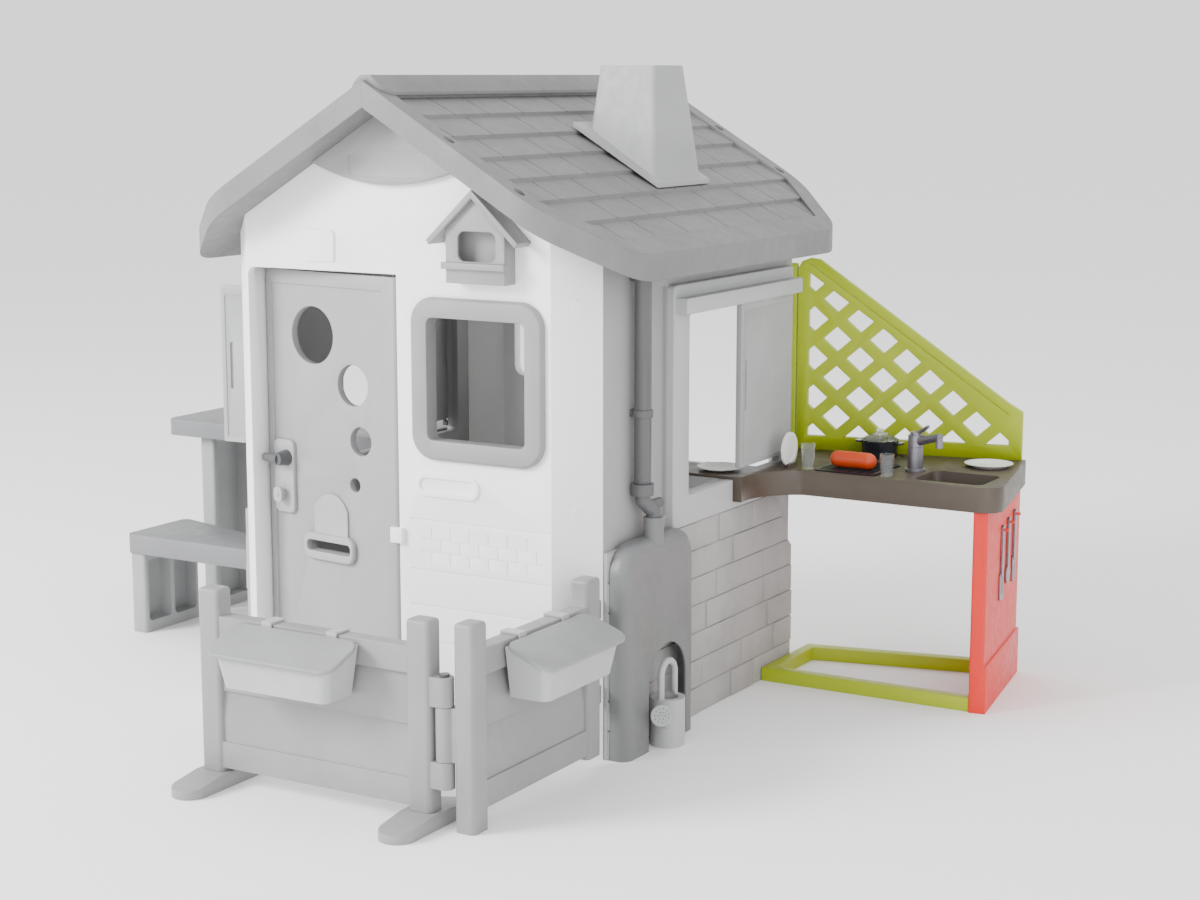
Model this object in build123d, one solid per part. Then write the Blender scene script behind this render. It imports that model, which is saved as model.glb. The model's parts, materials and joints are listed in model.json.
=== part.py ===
from build123d import *
import math
import os

# Plastic playhouse with a fence, a picnic table and a play kitchen.  Millimetres, +Z up.
# Drawing frame: origin on the ground under the middle of the house, front wall facing -Y.
# At the end everything is moved so that the origin is the bottom centre of the whole object.

# ---- house shell ----
HALF_WIDTH = 412.5        # outer face of a side wall, from the middle
HALF_DEPTH = 458.75       # outer face of the front wall, from the middle
CORNER = 68.0             # leg of the 45 degree corner faces
WALL = 16.0               # wall panel thickness
PANEL = 14.0              # extra thickness of the moulding round the side windows
STONE_TOP = 391.0         # top of the stone plinth
STONE_T = 12.0            # thickness of the stone cladding
STONE_BACK = 8.0          # thickness of the cladding's backing

# ---- roof ----
APEX_UNDER = 1192.0       # height where the two roof undersides meet
ROOF_RISE = 48.0          # roof thickness, measured straight up
ROOF_SLOPE = 0.60         # fall per unit of width
EAVE_X = 505.0
ROOF_HALF_Y = 543.0
ROOF_CORNER_X = 360.0     # start of the roof's cut corners
ROOF_CORNER_Y = 414.0
ROOF_CORNER_R = 110.0     # rounding at both ends of a cut corner
TILE_ROWS = 7
TILE_STEP = 7.0           # drop at the foot of each tile row
TILE_START = 36.0
ROOF_BORDER = 42.0        # plain border round the tiles
RIDGE_HALF = 45.0         # half width of the ridge cap
CHIMNEY_TOP = 1268.0

# ---- door ----
DOOR_LENGTH = 336.0       # hinge axis to free edge
DOOR_T = 18.0
DOOR_BOTTOM = 36.0
DOOR_TOP = 880.0
DOOR_AXIS_X = -1.0
DOOR_AJAR = 8.0           # degrees open at rest
DOOR_GAP = 3.0
DOOR_SILL = 30.0
HALF_DOOR_TOP = 410.0     # top of the closed lower half of the back doorway
DOOR_RETURN = 66.0        # depth of the return at the doorway's free side
PIN_R = 4.0
PIN_FIT = 0.1             # radial clearance of a running fit
PIN_DEPTH = 22.0          # length of a pin inside the leaf

# ---- front window ----
WIN_X0 = 46.0
WIN_X1 = 333.0
WIN_Z0 = 547.0
WIN_Z1 = 849.0
WIN_FRAME = 37.0          # width of the frame's face
WIN_SLEEVE = 12.0         # thickness of the frame's sleeve

# ---- side windows and shutters ----
SIDE_Y0 = -149.0
SIDE_Y1 = 370.0
SIDE_Z1 = 860.0
OPEN_Y0 = -87.0
OPEN_Y1 = 340.0
OPEN_Z0 = 450.0
OPEN_Z1 = 800.0
SHUTTER_W = 233.0
SHUTTER_T = 12.0
SHUTTER_Z0 = 474.0
SHUTTER_Z1 = 810.0
SHUTTER_OPEN = 95.0       # left front shutter at rest, degrees open
SHUTTER_GAP = 1.5         # between the wall moulding and a shutter
RAIL_Z0 = 806.0           # underside of the sliding shutter's rail
RAIL_Z1 = 836.0

# ---- fence ----
FENCE_Y = -870.0          # front face of the front fence's posts
FENCE_X0 = -137.0
FENCE_X1 = 357.0
POST_W = 47.0
POST_T = 40.0
POST_TOP = 360.0
FOOT_H = 28.0
FOOT_LENGTH = 224.0
FOOT_W = 66.0
BOARD_EDGES = (36.0, 84.0, 176.0, 266.0, 312.0)
FENCE_AXIS_X = 376.0
SIDE_FENCE_X = 437.0      # outer face of the side fence
SIDE_FENCE_Y0 = -857.0
SIDE_FENCE_Y1 = -438.0
KNUCKLE_R = 16.0
KNUCKLE_Z = (72.0, 119.0, 214.0, 265.0)
KNUCKLE_GAP = 0.6
FENCE_PIN_R = 5.0

# ---- planters ----
PLANTER_L = 222.0         # length at the bottom
PLANTER_D = 72.0          # depth at the bottom
PLANTER_Z0 = 212.0
PLANTER_FLARE = 0.176     # outward growth per unit of height
PLANTER_RIM = 303.0       # height of the rim at the back
PLANTER_DROP = 0.38       # fall of the rim per unit outward
PLANTER_WALL = 4.0
LID_L = 270.0
LID_D = 98.0
LID_T = 7.0
FRONT_PLANTER_X = 87.0
SIDE_PLANTER_Y = -632.0

# ---- picnic table and bench, measured outward from the left wall ----
TABLE_REACH = 648.5
TABLE_Y0 = 120.0
TABLE_Y1 = 430.0
TABLE_TOP = 454.0
TABLE_T = 38.0
BENCH_REACH = 574.5
BENCH_Y0 = -109.0
BENCH_Y1 = 95.0
BENCH_TOP = 227.0
BENCH_T = 44.0
LEG_T = 42.0

# ---- kitchen, measured outward from the right wall ----
COUNTER_TOP = 456.0
COUNTER_BOTTOM = 406.0
COUNTER_SKIN = 6.0
COUNTER_Y0 = 235.0
COUNTER_X1 = 513.5
COUNTER_SKEW = 11.9       # degrees between the counter's back edge and the house
TONGUE_X0 = -126.5
TONGUE_Y0 = 100.0
SINK = (318.5, 463.5, 262.0, 378.0)
SINK_DEPTH = 30.0
TRELLIS_T = 16.0
TRELLIS_LENGTH = 482.0
TRELLIS_TOP = 864.0
DIAMOND = (61.0, 54.0)
DIAMOND_PITCH = (100.0, 84.0)
SIDE_LEG_X = 490.5
SIDE_LEG_Y = 245.0
SIDE_LEG_SKEW = 9.08
SIDE_LEG_LENGTH = 342.0
SIDE_LEG_T = 34.0
FLOOR_BAR_H = 28.0
FAUCET = (288.5, 350.0)
POT = (160.5, 466.0)
GAP = 0.3                 # left under every loose piece

# ---- downpipe and barrel, measured outward from the stone cladding ----
PIPE = (11.5, -286.0)
PIPE_R = 16.0
NECK = (20.5, -260.0)
BEND_R = 14.0
BARREL_Y0 = -388.0
BARREL_Y1 = -122.0
BARREL_DEPTH = 37.5
BARREL_TOP = 403.0
BARREL_WALL = 4.5
ARCH_Y0 = -305.0
ARCH_Y1 = -160.0
ARCH_TOP = 195.0
CAN = (41.5, -240.0)
CAN_R = 33.0
CAN_H = 93.0

# ---- derived ----
SIDE_FACE = HALF_WIDTH + PANEL
STONE_FACE = HALF_WIDTH + STONE_T
DOOR_AXIS_Y = -HALF_DEPTH + DOOR_T / 2
FENCE_AXIS_Y = FENCE_Y + POST_T / 2
LEFT_AXIS_X = -(SIDE_FACE + 2.0 + SHUTTER_T / 2)
LEFT_AXIS_FRONT = -130.0
LEFT_AXIS_REAR = 344.0
SHUTTER_PIN_R = 2.5


# ---------------------------------------------------------------- helpers
def block(x0, x1, y0, y1, z0, z1):
    middle = Pos((x0 + x1) / 2, (y0 + y1) / 2, (z0 + z1) / 2)
    return middle * Box(x1 - x0, y1 - y0, z1 - z0)


def prism_y(outline, y0, y1):
    """Outline of (x, z) points, pushed from y0 to y1."""
    points = [(x, y0, z) for x, z in outline]
    return extrude(make_face(Polyline(*points, close=True)), amount=y1 - y0, dir=(0, 1, 0))


def prism_x(outline, x0, x1):
    """Outline of (y, z) points, pushed from x0 to x1."""
    points = [(x0, y, z) for y, z in outline]
    return extrude(make_face(Polyline(*points, close=True)), amount=x1 - x0, dir=(1, 0, 0))


def prism_z(outline, z0, z1):
    """Outline of (x, y) points, pushed from z0 to z1."""
    points = [(x, y, z0) for x, y in outline]
    return extrude(make_face(Polyline(*points, close=True)), amount=z1 - z0, dir=(0, 0, 1))


def slab_y(x0, x1, y0, y1, z0, z1, radius):
    """Upright slab across Y with rounded corners."""
    plane = Plane(origin=((x0 + x1) / 2, y0, (z0 + z1) / 2), x_dir=(1, 0, 0), z_dir=(0, 1, 0))
    return extrude(plane * RectangleRounded(x1 - x0, z1 - z0, radius), amount=y1 - y0)


def slab_x(x0, x1, y0, y1, z0, z1, radius):
    """Upright slab across X with rounded corners."""
    plane = Plane(origin=(x0, (y0 + y1) / 2, (z0 + z1) / 2), x_dir=(0, 1, 0), z_dir=(1, 0, 0))
    return extrude(plane * RectangleRounded(y1 - y0, z1 - z0, radius), amount=x1 - x0)


def slab_z(x0, x1, y0, y1, z0, z1, radius):
    """Flat slab with rounded corners in plan."""
    plane = Plane(origin=((x0 + x1) / 2, (y0 + y1) / 2, z0), x_dir=(1, 0, 0), z_dir=(0, 0, 1))
    return extrude(plane * RectangleRounded(x1 - x0, y1 - y0, radius), amount=z1 - z0)


def rod(start, direction, radius, length):
    return extrude(Plane(origin=start, z_dir=direction) * Circle(radius), amount=length)


def cone(start, direction, radius_a, radius_b, length):
    plane = Plane(origin=start, z_dir=direction)
    return plane * Cone(radius_a, radius_b, length, align=(Align.CENTER, Align.CENTER, Align.MIN))


def turned(shape, x, y, degrees):
    """The shape turned about the upright line through (x, y)."""
    return Pos(x, y, 0) * Rot(0, 0, degrees) * Pos(-x, -y, 0) * shape


def mirrored(shape):
    """The same moulding on the left side of the house."""
    return shape.mirror(Plane.YZ)


def upright_edges(shape, places):
    """Upright edges that stand at the given (x, y) places."""
    found = []
    for edge in shape.edges().filter_by(Axis.Z):
        middle = edge.center()
        for x, y in places:
            if math.hypot(middle.X - x, middle.Y - y) < 1.0:
                found.append(edge)
    return found


def roof_under(x):
    return APEX_UNDER - ROOF_SLOPE * abs(x)


def roof_top(x):
    return roof_under(x) + ROOF_RISE


def beside_right(shape):
    return Pos(SIDE_FACE, 0, 0) * shape


def beside_left(shape):
    return Pos(-SIDE_FACE, 0, 0) * shape


def by_the_stones(shape):
    return Pos(STONE_FACE, 0, 0) * shape


# ---------------------------------------------------------------- house shell
def under_roof():
    """Everything that is below the roof's underside."""
    outline = [(-EAVE_X, 0), (EAVE_X, 0), (EAVE_X, roof_under(EAVE_X)), (0, APEX_UNDER),
               (-EAVE_X, roof_under(EAVE_X))]
    return prism_y(outline, -HALF_DEPTH - 60, HALF_DEPTH + 60)


def gable_wall():
    """Front wall panel with its two slanted corner returns."""
    flat = HALF_WIDTH - CORNER
    side_y = -(HALF_DEPTH - CORNER)
    mitre = WALL * math.tan(math.radians(22.5))
    outline = [
        (-HALF_WIDTH, side_y), (-flat, -HALF_DEPTH), (flat, -HALF_DEPTH), (HALF_WIDTH, side_y),
        (HALF_WIDTH - WALL, side_y + mitre), (flat - mitre, -HALF_DEPTH + WALL),
        (-flat + mitre, -HALF_DEPTH + WALL), (-HALF_WIDTH + WALL, side_y + mitre),
    ]
    return prism_z(outline, 0, APEX_UNDER) & under_roof()


def window_hole():
    inset = WIN_FRAME - WIN_SLEEVE
    return slab_y(WIN_X0 + inset, WIN_X1 - inset, -HALF_DEPTH - 15, -HALF_DEPTH + WALL + 5,
                  WIN_Z0 + inset, WIN_Z1 - inset, 24)


def plank_grooves():
    """Shallow grooves and brick joints under the window."""
    face = -HALF_DEPTH
    grooves = []
    for z in (430, 334, 266, 198, 130, 62):
        grooves.append(block(35, 343, face - 1, face + 1.6, z - 1.3, z + 1.3))
    for row in range(3):
        z = 358 + row * 24
        if row < 2:
            grooves.append(block(60, 324, face - 1, face + 0.9, z + 11, z + 12.6))
        for column in range(6):
            x = 82 + column * 42 + (row % 2) * 21
            grooves.append(block(x - 0.8, x + 0.8, face - 1, face + 0.9, z - 11, z + 11))
    return grooves


def oval_relief(x0, x1, z0, z1, height):
    face = -HALF_DEPTH
    radius = (z1 - z0) / 2
    outer = slab_y(x0, x1, face - height, face, z0, z1, radius - 0.5)
    inner = slab_y(x0 + 8, x1 - 8, face - height - 1, face + 1, z0 + 8, z1 - 8, radius - 8.5)
    return outer - inner


def front_wall():
    face = -HALF_DEPTH
    left = DOOR_AXIS_X - DOOR_LENGTH - DOOR_GAP
    right = DOOR_AXIS_X + DOOR_T / 2 + 1.0
    back = face + WALL + 5
    opening = slab_y(left, right, face - 5, back, DOOR_SILL, DOOR_TOP + 6, 16)
    opening += block(right - 60, right, face - 5, back, DOOR_SILL, DOOR_TOP + 6)
    wall = gable_wall() - opening - window_hole()
    wall -= plank_grooves()
    wall += block(left - 12, left, face + WALL - 3, face + DOOR_RETURN, DOOR_SILL, DOOR_TOP + 6)
    for z in (DOOR_SILL - 12, DOOR_TOP + 6):
        wall -= rod((DOOR_AXIS_X, DOOR_AXIS_Y, z), (0, 0, 1), PIN_R, 12)
    wall += oval_relief(50, 190, 476, 519, 4)
    wall += slab_y(-200, -131, face - 4, face, 903, 963, 8)
    wall += block(DOOR_AXIS_X - 5, right + 12, face - 10, face - 0.6, 381, 410)
    wall += block(right + 1, right + 12, face - 0.6, face, 381, 410)
    return wall


def back_wall():
    """Same form as the front wall turned round; the lower half of its doorway is closed."""
    wall = gable_wall() - window_hole()
    wall -= plank_grooves()
    ring = slab_y(WIN_X0, WIN_X1, -HALF_DEPTH - 8, -HALF_DEPTH, WIN_Z0, WIN_Z1, 48)
    wall += ring - window_hole()
    face = -HALF_DEPTH
    left = DOOR_AXIS_X - DOOR_LENGTH - DOOR_GAP
    right = DOOR_AXIS_X + DOOR_T / 2 + 1.0
    wall -= slab_y(left, right, face - 5, face + WALL + 5, HALF_DOOR_TOP, DOOR_TOP + 6, 16)
    wall -= slab_y(left + 24, right - 24, face - 5, face + 3, DOOR_SILL + 24, HALF_DOOR_TOP - 24, 10)
    return Rot(0, 0, 180) * wall


def front_window_frame():
    face = -HALF_DEPTH
    inset = WIN_FRAME - WIN_SLEEVE
    flange = slab_y(WIN_X0, WIN_X1, face - 13, face, WIN_Z0, WIN_Z1, 48)
    flange = chamfer(flange.faces().sort_by(Axis.Y)[0].edges(), 5)
    sleeve = slab_y(WIN_X0 + inset, WIN_X1 - inset, face, face + WALL + 4,
                    WIN_Z0 + inset, WIN_Z1 - inset, 24)
    hole = slab_y(WIN_X0 + WIN_FRAME, WIN_X1 - WIN_FRAME, face - 15, face + WALL + 6,
                  WIN_Z0 + WIN_FRAME, WIN_Z1 - WIN_FRAME, 13)
    return flange + sleeve - hole


def side_wall():
    """Right side wall, mitred to the corners, with the moulding round its window."""
    y = HALF_DEPTH - CORNER
    mitre = WALL * math.tan(math.radians(22.5))
    outline = [(HALF_WIDTH, -y), (HALF_WIDTH, y), (HALF_WIDTH - WALL, y - mitre),
               (HALF_WIDTH - WALL, -y + mitre)]
    wall = prism_z(outline, 0, APEX_UNDER) & under_roof()
    plate = block(HALF_WIDTH, SIDE_FACE, SIDE_Y0, SIDE_Y1, STONE_TOP, SIDE_Z1)
    plate = fillet(plate.edges().filter_by(Axis.X), 9)
    plate = chamfer(plate.faces().sort_by(Axis.X)[-1].edges(), 2)
    opening = slab_x(HALF_WIDTH - WALL - 5, SIDE_FACE + 5, OPEN_Y0, OPEN_Y1, OPEN_Z0, OPEN_Z1, 8)
    slot = block(HALF_WIDTH - 9, HALF_WIDTH + 1, SIDE_Y0 - 52, SIDE_Y0 - 4, STONE_TOP + 30, SIDE_Z1)
    return wall + plate - opening - slot


def right_wall():
    """Adds the rail that the sliding shutter hangs in."""
    inner = SIDE_FACE + SHUTTER_GAP + SHUTTER_T
    lip = inner + 6.5
    section = [(SIDE_FACE, RAIL_Z1), (lip + 4, RAIL_Z1), (lip + 4, RAIL_Z0), (inner + 1.5, RAIL_Z0),
               (inner + 1.5, RAIL_Z0 + 6), (lip, RAIL_Z0 + 6), (lip, RAIL_Z1 - 7), (SIDE_FACE, RAIL_Z1 - 7)]
    rail = prism_y(section, SIDE_Y0 + 6, SIDE_Y1 - 6)
    for y in (SIDE_Y0 + 6, SIDE_Y1 - 14):
        rail += block(SIDE_FACE, lip + 4, y, y + 8, RAIL_Z0, RAIL_Z1)
    return side_wall() + rail


def left_wall():
    return mirrored(side_wall())


def stone_cladding():
    """Stone courses in relief with a broken corner at the top rear."""
    y = HALF_DEPTH - CORNER - 2
    face = HALF_WIDTH + STONE_BACK
    outline = [(-y, 0), (y, 0), (y, 262), (y - 18, 278), (y - 22, 318), (y - 52, 332),
               (y - 70, 372), (y - 96, STONE_TOP), (-y, STONE_TOP)]
    body = prism_x(outline, HALF_WIDTH, face)
    rows = 7
    stones = []
    for row in range(rows):
        low = STONE_TOP * row / rows
        high = STONE_TOP * (row + 1) / rows
        count = 5 + row % 2
        weights = [1 + 0.35 * math.sin(2.3 * row + 1.7 * column) for column in range(count)]
        total = sum(weights)
        start = -y
        for column in range(count):
            stop = start + 2 * y * weights[column] / total
            depth = STONE_T - STONE_BACK - 1.2 + 1.2 * math.sin(1.9 * row + 2.6 * column)
            stones.append(block(face, face + depth, start + 1.6, stop - 1.6, low + 1.6, high - 1.6))
            start = stop
    limit = prism_x(outline, face, face + STONE_T)
    for stone in stones:
        body += stone & limit
    return body


def right_stone_base():
    return stone_cladding()


def left_stone_base():
    """The bench's end is let into the stones."""
    socket = block(-HALF_WIDTH - STONE_T - 2, -HALF_WIDTH - STONE_BACK, BENCH_Y0 - 1, 21,
                   BENCH_TOP - BENCH_T - 1, BENCH_TOP + 1)
    return mirrored(stone_cladding()) - socket


# ---------------------------------------------------------------- roof
def roof_plan(inset):
    """Plan of the right roof half, drawn in from every outer edge."""
    run = EAVE_X - ROOF_CORNER_X
    drop = ROOF_HALF_Y - ROOF_CORNER_Y
    slant = math.hypot(run, drop)
    px = ROOF_CORNER_X - inset * drop / slant
    py = ROOF_HALF_Y - inset * run / slant
    ax = px + (py - (ROOF_HALF_Y - inset)) * run / drop
    by = py - (EAVE_X - inset - px) * drop / run
    return [(0, -ROOF_HALF_Y + inset), (ax, -ROOF_HALF_Y + inset), (EAVE_X - inset, -by),
            (EAVE_X - inset, by), (ax, ROOF_HALF_Y - inset), (0, ROOF_HALF_Y - inset)]


def roof_bolt_places():
    y = ROOF_HALF_Y - 24
    return [(172, -y), (319, -y), (172, y), (319, y)]


def roof_right():
    """Sloping slab with stepped tile rows inside a plain border."""
    outline = [(0, APEX_UNDER), (EAVE_X, roof_under(EAVE_X)), (EAVE_X, roof_top(EAVE_X)),
               (0, roof_top(0))]
    plan = prism_z(roof_plan(0), 0, roof_top(0) + 10)
    plan = fillet(upright_edges(plan, roof_plan(0)[1:5]), ROOF_CORNER_R)
    slab = prism_y(outline, -ROOF_HALF_Y, ROOF_HALF_Y) & plan
    stop = EAVE_X - ROOF_BORDER
    pitch = (stop - TILE_START) / TILE_ROWS
    saw = [(TILE_START, roof_top(TILE_START) + 20)]
    joints = []
    for row in range(TILE_ROWS):
        x0 = TILE_START + row * pitch
        x1 = x0 + pitch
        saw.append((x0, roof_top(x0) - 3 - TILE_STEP))
        saw.append((x1, roof_top(x1) - 3))
        count = 8
        for column in range(1, count + 1):
            share = (column - 0.5 * (row % 2) + 0.14 * math.sin(1.7 * column + 2.1 * row)) / count
            y = -ROOF_HALF_Y + 2 * ROOF_HALF_Y * share
            joint = [(x0 + 0.4, roof_top(x0) - 6 - TILE_STEP), (x1, roof_top(x1) - 6),
                     (x1, roof_top(x1) + 9), (x0 + 0.4, roof_top(x0) + 9)]
            joints.append(prism_y(joint, y - 1.6, y + 1.6))
    saw.append((stop, roof_top(stop) + 20))
    field = prism_z(roof_plan(ROOF_BORDER), 0, roof_top(0) + 60)
    slab -= prism_y(saw, -ROOF_HALF_Y, ROOF_HALF_Y) & field
    for joint in joints:
        slab -= joint & field
    for x, y in roof_bolt_places():
        slab -= rod((x, y, roof_under(x) + 26), (0, 0, 1), 10, 60)
    return slab


def roof_left():
    return mirrored(roof_right())


def roof_bolts():
    """Eight bolts, each at the bottom of its pocket."""
    bolts = []
    for x, y in roof_bolt_places():
        base = roof_under(x) + 26
        for side in (1, -1):
            bolt = rod((side * x, y, base), (0, 0, 1), 8, 7)
            bolts.append(bolt - block(side * x - 6, side * x + 6, y - 1.2, y + 1.2, base + 5, base + 8))
    return Compound(children=bolts)


def ridge_cap():
    """Saddle over the ridge with rounded ends."""
    reach = RIDGE_HALF
    half = ROOF_HALF_Y - 11
    outline = [(-reach, roof_top(reach)), (0, roof_top(0)), (reach, roof_top(reach)),
               (reach, roof_top(reach) + 7), (11, roof_top(0) + 10), (-11, roof_top(0) + 10),
               (-reach, roof_top(reach) + 7)]
    cap = prism_y(outline, -half, half)
    return cap & slab_z(-reach, reach, -half, half, 1000, 1400, 30)


def chimney():
    """Tapered stack on a flange that follows the roof's slope."""
    low = Plane(origin=(246, 48.5, 1030)) * RectangleRounded(170, 192, 12)
    high = Plane(origin=(240.5, 55, CHIMNEY_TOP)) * RectangleRounded(125, 118, 9)
    stack = loft([low.face(), high.face()])
    flue = Plane(origin=(240.5, 55, CHIMNEY_TOP)) * RectangleRounded(95, 88, 5)
    stack -= extrude(flue, amount=-26)
    x0, x1 = 150.0, 340.0
    section = [(x0, roof_top(x0)), (x1, roof_top(x1)), (x1, roof_top(x1) + 9), (x0, roof_top(x0) + 9)]
    flange = prism_y(section, -58, 155)
    above = prism_y([(0, roof_top(0)), (EAVE_X, roof_top(EAVE_X)), (EAVE_X, 1400), (0, 1400)], -300, 300)
    return (stack & above) + flange


def gable_board():
    """Plain board under the apex, with a curved lower edge."""
    face = -HALF_DEPTH
    half = 172.0
    left = (-half, face, roof_under(half))
    right = (half, face, roof_under(half))
    low = (0, face, roof_under(half) - 38)
    edges = [Polyline(left, (0, face, APEX_UNDER), right), ThreePointArc(right, low, left)]
    board = extrude(make_face(edges), amount=12, dir=(0, -1, 0))
    field = slab_y(-86, 86, face - 13, face - 10.5, 1064, 1112, 12)
    return board - field


# ---------------------------------------------------------------- birdhouse and plugs
BIRD_X = 207.0
BIRD_SLOPE = 0.93


def bird_under(x):
    return 1034 - BIRD_SLOPE * abs(x - BIRD_X)


def birdhouse_body():
    """Hollow nesting box with a wide opening and a trough in front."""
    face = -HALF_DEPTH
    outline = [(145, 880), (271, 880), (271, bird_under(271)), (BIRD_X, bird_under(BIRD_X)), (145, bird_under(145))]
    body = prism_y(outline, face - 36, face)
    room = [(154, 890), (262, 890), (262, bird_under(262) - 10), (BIRD_X, bird_under(BIRD_X) - 12),
            (154, bird_under(154) - 10)]
    body -= prism_y(room, face - 30, face - 6)
    body -= slab_y(171, 252, face - 40, face - 20, 920, 974, 14)
    ledge = block(139, 277, face - 46, face - 36, 906, 918)
    ledge = fillet(ledge.edges().filter_by(Axis.Z), 4)
    return body + ledge


def birdhouse_roof():
    face = -HALF_DEPTH
    reach = 98.0
    outline = [(BIRD_X - reach, bird_under(BIRD_X - reach) + 14), (BIRD_X - reach + 6, bird_under(BIRD_X - reach + 6)),
               (BIRD_X, bird_under(BIRD_X)), (BIRD_X + reach - 6, bird_under(BIRD_X + reach - 6)),
               (BIRD_X + reach, bird_under(BIRD_X + reach) + 14), (BIRD_X, bird_under(BIRD_X) + 15)]
    return prism_y(outline, face - 47, face)


def wall_plugs():
    """Round plugs in the slanted front corner faces."""
    plugs = []
    middle = HALF_WIDTH - CORNER / 2
    for side in (-1, 1):
        for z in (471, 846):
            start = (side * middle, -(HALF_DEPTH - CORNER / 2), z)
            plugs.append(rod(start, (side, -1, 0), 7.5, 3.5))
    return Compound(children=plugs)


# ---------------------------------------------------------------- door
HOLES = ((214, 757, 56), (108, 668, 40), (89, 562, 28), (106, 476, 14))
SLOT_U = (105.0, 241.0)
SLOT_Z = (319.0, 372.0)
SLOT_HOLE = (113.0, 230.0, 336.0, 358.0)
HANDLE_U = 285.0
HANDLE_Z = 512.0
KEY_U = 295.0
KEY_Z = 440.0
HANDLE_R = 6.0
KEY_R = 4.0


def on_door(shape):
    """From the closed door's place to its place at rest."""
    return turned(shape, DOOR_AXIS_X, DOOR_AXIS_Y, -DOOR_AJAR)


def door_x(u):
    """Distance u from the hinge axis along the closed leaf."""
    return DOOR_AXIS_X - u


def door_leaf():
    front = -HALF_DEPTH
    back = front + DOOR_T
    leaf = slab_y(door_x(DOOR_LENGTH), door_x(-60), front, back, DOOR_BOTTOM, DOOR_TOP, 16)
    leaf = leaf & block(door_x(DOOR_LENGTH), DOOR_AXIS_X, front, back, DOOR_BOTTOM, DOOR_TOP)
    leaf += rod((DOOR_AXIS_X, DOOR_AXIS_Y, DOOR_BOTTOM), (0, 0, 1), DOOR_T / 2, DOOR_TOP - DOOR_BOTTOM)
    leaf -= slab_y(door_x(322), door_x(25), front - 2, front + 3, 60, 853, 4)
    for u, z, radius in HOLES:
        leaf -= rod((door_x(u), front - 2, z), (0, 1, 0), radius, DOOR_T + 4)
    leaf -= slab_y(door_x(SLOT_HOLE[1]), door_x(SLOT_HOLE[0]), front - 2, back + 2, SLOT_HOLE[2], SLOT_HOLE[3], 8)
    bore = PIN_R + PIN_FIT
    leaf -= rod((DOOR_AXIS_X, DOOR_AXIS_Y, DOOR_BOTTOM - 1), (0, 0, 1), bore, PIN_DEPTH + 3)
    leaf -= rod((DOOR_AXIS_X, DOOR_AXIS_Y, DOOR_TOP - PIN_DEPTH - 2), (0, 0, 1), bore, PIN_DEPTH + 3)
    leaf -= rod((door_x(HANDLE_U), front - 2, HANDLE_Z), (0, 1, 0), HANDLE_R + PIN_FIT, DOOR_T + 4)
    leaf -= rod((door_x(KEY_U), front - 2, KEY_Z), (0, 1, 0), KEY_R + PIN_FIT, DOOR_T + 4)
    return on_door(leaf)


def letter_slot_frame():
    face = -HALF_DEPTH + 3
    frame = slab_y(door_x(SLOT_U[1]), door_x(SLOT_U[0]), face - 11, face, SLOT_Z[0], SLOT_Z[1], 20)
    frame = chamfer(frame.faces().sort_by(Axis.Y)[0].edges(), 3)
    frame -= slab_y(door_x(SLOT_HOLE[1]), door_x(SLOT_HOLE[0]), face - 14, face + 2, SLOT_HOLE[2], SLOT_HOLE[3], 8)
    left, right = door_x(215), door_x(125)
    low, high = SLOT_Z[1] - 4, 418
    edges = [Polyline((right, face, high), (right, face, low), (left, face, low), (left, face, high)),
             ThreePointArc((left, face, high), (door_x(170), face, 452), (right, face, high))]
    shield = extrude(make_face(edges), amount=4, dir=(0, -1, 0))
    return on_door(frame + shield)


def lock_plate():
    face = -HALF_DEPTH + 3
    plate = slab_y(door_x(320), door_x(266), face - 8, face, 402, 547, 12)
    plate = chamfer(plate.faces().sort_by(Axis.Y)[0].edges(), 1.5)
    plate -= rod((door_x(HANDLE_U), face - 12, HANDLE_Z), (0, 1, 0), HANDLE_R + PIN_FIT, 16)
    plate -= rod((door_x(KEY_U), face - 12, KEY_Z), (0, 1, 0), KEY_R + PIN_FIT, 16)
    return on_door(plate)


def door_handle():
    """Outer and inner lever on one spindle."""
    front = -HALF_DEPTH - 5
    back = -HALF_DEPTH + DOOR_T
    x = door_x(HANDLE_U)
    shape = rod((x, front - 24, HANDLE_Z), (0, 1, 0), HANDLE_R, back - front + 38)
    shape += cone((x, front - 0.4, HANDLE_Z), (0, -1, 0), 16, 12, 26)
    shape += cone((x, front - 19, HANDLE_Z), (-1, 0, 0), 12, 8, 38)
    shape += Pos(x - 38, front - 19, HANDLE_Z) * Sphere(8)
    shape += cone((x, back + 0.4, HANDLE_Z), (0, 1, 0), 14, 10, 16)
    shape += cone((x, back + 11, HANDLE_Z), (-1, 0, 0), 8, 6, 38)
    return on_door(shape)


def door_key():
    front = -HALF_DEPTH - 5
    back = -HALF_DEPTH + DOOR_T
    x = door_x(KEY_U)
    shape = rod((x, front - 18, KEY_Z), (0, 1, 0), KEY_R, 18 + back - front + 5)
    shape += rod((x, front - 12, KEY_Z), (0, 1, 0), 8, 11.6)
    bow = slab_y(x - 11, x + 11, front - 17, front - 11, KEY_Z - 15, KEY_Z + 15, 9)
    shape += bow
    shape += block(x - 6, x + 6, back + 0.4, back + 5, KEY_Z - 6, KEY_Z + 20)
    return on_door(shape)


def door_hinge_pins():
    """Two fixed pins, one in the sill and one in the lintel."""
    low = rod((DOOR_AXIS_X, DOOR_AXIS_Y, DOOR_SILL - 12), (0, 0, 1), PIN_R, 12 + DOOR_BOTTOM - DOOR_SILL + PIN_DEPTH)
    high = rod((DOOR_AXIS_X, DOOR_AXIS_Y, DOOR_TOP - PIN_DEPTH), (0, 0, 1), PIN_R, PIN_DEPTH + 18)
    return Compound(children=[low, high])


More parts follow.
